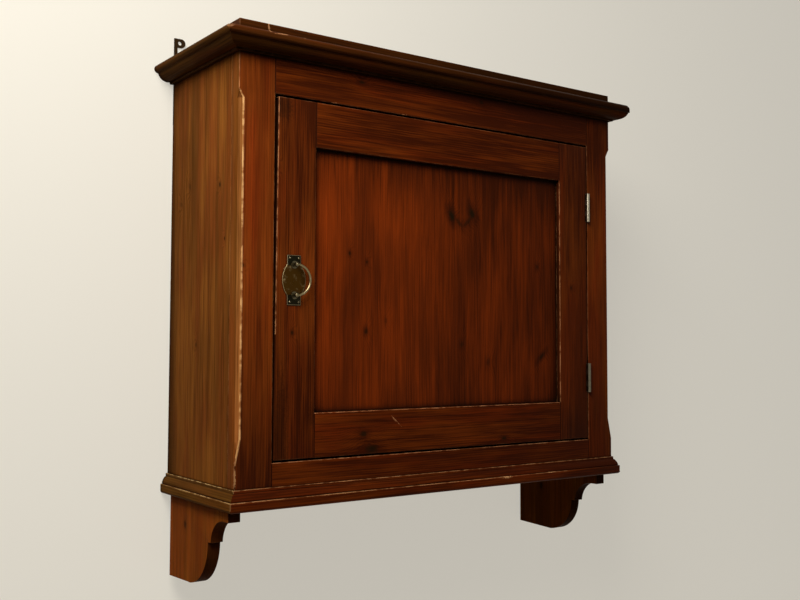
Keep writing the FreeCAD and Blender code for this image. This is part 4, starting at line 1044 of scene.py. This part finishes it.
def split_base(shape):
    """Parts the base board's long faces, so that their left, middle and right can differ."""
    part_at(shape, "x", *BASE_PARTS)


def base_finish(face):
    """The left and right ends have the colour of the sides."""
    return 1 if abs(face.normal.x) > 0.3 else 0


print("the moulding ends", round(mould_top - base_top, 4), "m above the base board")

# %% [markdown]
# ## The base
#
# From the front the base is as red as the rails, and from the side it has gone olive with the sides. The corner
# between the moulding and the board is darkened with dirt and painted shade. It could be painted there, but a short
# reach for that darkening finds the corner by itself.

# %% Finish the base
OLIVE = {**YELLOW, "Light": (0.205, 0.084, 0.0125, 1), "Red": (0.170, 0.056, 0.0090, 1),
         "Dark": (0.066, 0.025, 0.0040, 1), "Bare": (0.72, 0.50, 0.22, 1)}
NARROW = 0.012
base_marks = [((0.1127, base_front, -0.6888), (0.011, 0.006, 0.0022), 0),
              ((0.212, base_front, -0.6875), (0.012, 0.006, 0.0010), 0)]
# Painted shade: the front stains of the base darken towards the right, and the corner above the board is darkened as
# dirt and painted shade.
base_red = pine("base_red_pine", "level front", {**RED, "Bare": (0.80, 0.46, 0.20, 1)}, heart=(0.3, 0.1),
                fade=0.30, grime_and_shade_reach=NARROW, marks=base_marks)
mould_front = pine("mould_front_pine", "level front", {**RED, "Bare": (0.66, 0.37, 0.16, 1)}, heart=(0.15, 0.1),
                   fade=0.24, grime_and_shade_reach=NARROW)
mould_side = pine("mould_side_pine", "level side", OLIVE, heart=(0.12, 0.1), wear=1.0, sheen=DRY, grime_and_shade_reach=NARROW)
eased("base_board", base_red, mould_side, width=BROAD_ROUND, tone=0.16, touch=base_touch, shape_up=split_base,
      finish_of=base_finish)
eased("base_mould_front", mould_front, tone=0.18, rub=mould_wear)
for hand in ("left", "right"):
    eased(f"base_mould_{hand}", mould_side, tone=0.30, rub=mould_wear)

# %% [markdown]
# ## The brackets
#
# Two brackets are sawn to a cove and a belly. Their sawn edges are end grain for most of the way, which drank so
# much of the stain that it is nearly black. A darker tone on those faces would keep the figure of the broad side,
# so they get a second finish, by the way they face.

# %% Finish the brackets
BRACKET = {**RED, "Light": (0.356, 0.096, 0.0110, 1), "Red": (0.324, 0.068, 0.0078, 1),
           "Dark": (0.118, 0.034, 0.0046, 1)}
BRACKET_HEART = (-0.2, 0.25)


def sawn_edge(face):
    """The second finish goes on the edges of a board that stands with its broad faces to the sides."""
    return 1 if abs(face.normal.x) < 0.5 else 0


bracket_red = pine("bracket_red_pine", "upright side", BRACKET, heart=BRACKET_HEART, figure=0.7, banding=0.2,
                   sheen=DRY, knots=[((left_face, -0.07, -0.74), 0.0046, 0.0, 0.8)])
sawn_black = pine("sawn_black_pine", "upright side", LIP, heart=BRACKET_HEART, sheen=DULL)
# Painted shade: the right bracket's much darker tone stands for the shade it sits in under the base.
for number, hand in enumerate(("left", "right")):
    eased(f"bracket_{hand}", bracket_red, sawn_black, tone=-0.12 + 0.45 * number, finish_of=sawn_edge)

# %% [markdown]
# ## The inside and the back
#
# What doesn't show was never stained. The back boards, the shelf and its battens are plain pine, browned by age. One
# sheet of plywood would look alike from afar, but here each board shows its own colour and a dusty joint. The small
# pieces inside need no easing, so they keep their solids.

# %% Finish the unstained boards
PLAIN = {"Light": (0.46, 0.27, 0.12, 1), "Red": (0.43, 0.23, 0.10, 1), "Dark": (0.25, 0.125, 0.05, 1),
         "Band colour": (0.32, 0.19, 0.09, 1), "Knot": (0.11, 0.05, 0.02, 1)}
PLAIN_HEART = (0.4, 0.09)


def dusty_joint(spot):
    """An edge that was never rubbed, dark with dust."""
    return DUST_AND_SHADE


plain_upright = pine("plain_upright_pine", "upright front", PLAIN, heart=(0.5, 0.08), grime_and_shade=0.0)
plain_level = pine("plain_level_pine", "level flat", PLAIN, heart=PLAIN_HEART)
plain_side = pine("plain_side_pine", "level side", PLAIN, heart=PLAIN_HEART)
for count, tone in enumerate((0.02, 0.16, -0.06, 0.22, 0.08), start=1):
    eased(f"back_board_{count}", plain_upright, tone=tone, rub=dusty_joint)
eased("shelf", plain_level)
for hand in ("left", "right"):
    finished(f"shelf_batten_{hand}", plain_side)
finished("door_stop_left", plain_upright)
finished("door_stop_top", plain_level)

# %% [markdown]
# ## Old metal
#
# The pull, the hinges and the friction spring are brass, dull and brown but for the places that are handled. The
# hanging plates, nails and screws are blackened iron. A single even metal looks new, so each metal here has a clean
# and a dull colour in clouds, and a trace of patina in its corners.

# %% Mix the metals
def metal(name, clean, dull, rough, patina):
    """A metal that has gone dull in patches, brighter on its edges, with a trace of patina in its corners."""
    finish, tree, shader = new_finish(name)
    spot = lay(tree, "TexCoord", {})["Object"]
    cloud = lay(tree, "TexNoise", {"Vector": spot, "Scale": 130.0, "Detail": 4.0})[0]
    touch = lay(tree, "Attribute", {}, attribute_name="touch")["Fac"]
    bright = sums(tree, "MAXIMUM", soft_step(tree, cloud, 0.55, 0.95), touch)
    colour = mix(tree, bright, dull, clean)
    open_air = lay(tree, "AmbientOcclusion", {"Distance": 0.004}, samples=8)["AO"]
    colour = mix(tree, soft_step(tree, open_air, 0.7, 0.2, 0.0, 0.9), colour, patina)
    tree.links.new(colour, shader.inputs["Base Color"])
    tree.links.new(sums(tree, "MULTIPLY_ADD", cloud, 0.3, rough), shader.inputs["Roughness"])
    shader.inputs["Metallic"].default_value = 1.0
    print(name, "has", len(tree.nodes), "nodes")
    return finish


HINGE_DIRT = (0.03, 0.022, 0.010, 1)
brass = metal("old_brass", (0.50, 0.39, 0.20, 1), (0.070, 0.032, 0.005, 1), 0.26, (0.010, 0.014, 0.008, 1))
tarnished = metal("tarnished_brass", (0.36, 0.29, 0.17, 1), (0.017, 0.015, 0.008, 1), 0.24, (0.004, 0.006, 0.004, 1))
handled = metal("handled_brass", (0.82, 0.70, 0.48, 1), (0.28, 0.225, 0.120, 1), 0.16, (0.07, 0.13, 0.10, 1))
worn = metal("worn_brass", (0.70, 0.58, 0.38, 1), (0.13, 0.108, 0.062, 1), 0.08, (0.010, 0.016, 0.010, 1))
hinge_brass = metal("hinge_brass", (0.86, 0.79, 0.64, 1), (0.40, 0.355, 0.265, 1), 0.16, HINGE_DIRT)
# Painted shade: a darker copy of the hinge brass, for the lower hinge.
shaded_hinge = metal("shaded_hinge_brass", (0.60, 0.54, 0.42, 1), (0.17, 0.150, 0.105, 1), 0.2, HINGE_DIRT)
iron = metal("black_iron", (0.060, 0.056, 0.052, 1), (0.018, 0.016, 0.014, 1), 0.4, (0.030, 0.013, 0.005, 1))
rusty = metal("rusty_iron", (0.070, 0.040, 0.018, 1), (0.036, 0.019, 0.0075, 1), 0.5, (0.020, 0.008, 0.003, 1))

# %% [markdown]
# ## The pull's plate
#
# The plate is sheet brass: an oval with two square ends. Fingers keep its rim bright and the oval brown, and the
# ends are tarnished darkest. Two objects could carry the two finishes, but the real plate is stamped in one piece.
# So its faces are parted where the oval ends, and its thin rim is rounded like a board's edge.

# %% Finish the pull's plate
SQUARE_END = 0.0145
plate_low, plate_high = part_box("pull_plate")
oval_ends = [plate_low.z + SQUARE_END, plate_high.z - SQUARE_END]


def split_plate(shape):
    """Parts the plate's oval body from its two square ends."""
    part_at(shape, "z", *oval_ends)


def plate_finish(face):
    """The ends of the plate, out of reach of fingers, are tarnished darkest."""
    return 0 if oval_ends[0] < face.calc_center_median().z < oval_ends[1] else 1


def bright_rim(spot):
    """An edge that fingers keep bright."""
    return 0.9


eased("pull_plate", brass, tarnished, width=0.0005, shortest=0.0008, rub=bright_rim, shape_up=split_plate,
      finish_of=plate_finish, suffix="_brass")

# %% [markdown]
# ## Hinges, nails and screws
#
# The other metal pieces are small and come with their rounds already, so their solids only need a finish. They could
# be listed one by one, but the names of the pieces say enough: a loop over the brass and the iron picks the finish.

# %% Finish the other metal pieces
def brass_for(node):
    """Brass for a piece: painted shade on the lower hinge, the bail handled, the rest of the pull worn."""
    if "hinge" in node:
        return shaded_hinge if "hinge_lower" in node else hinge_brass
    if node == "pull_bail":
        return handled
    return worn if "pull" in node else brass


for node, slot in slot_of.items():
    if slot == "brass" and node != "pull_plate":
        finished(node, brass_for(node))
    elif slot == "iron":
        finished(node, rusty if "plate" in node else iron)
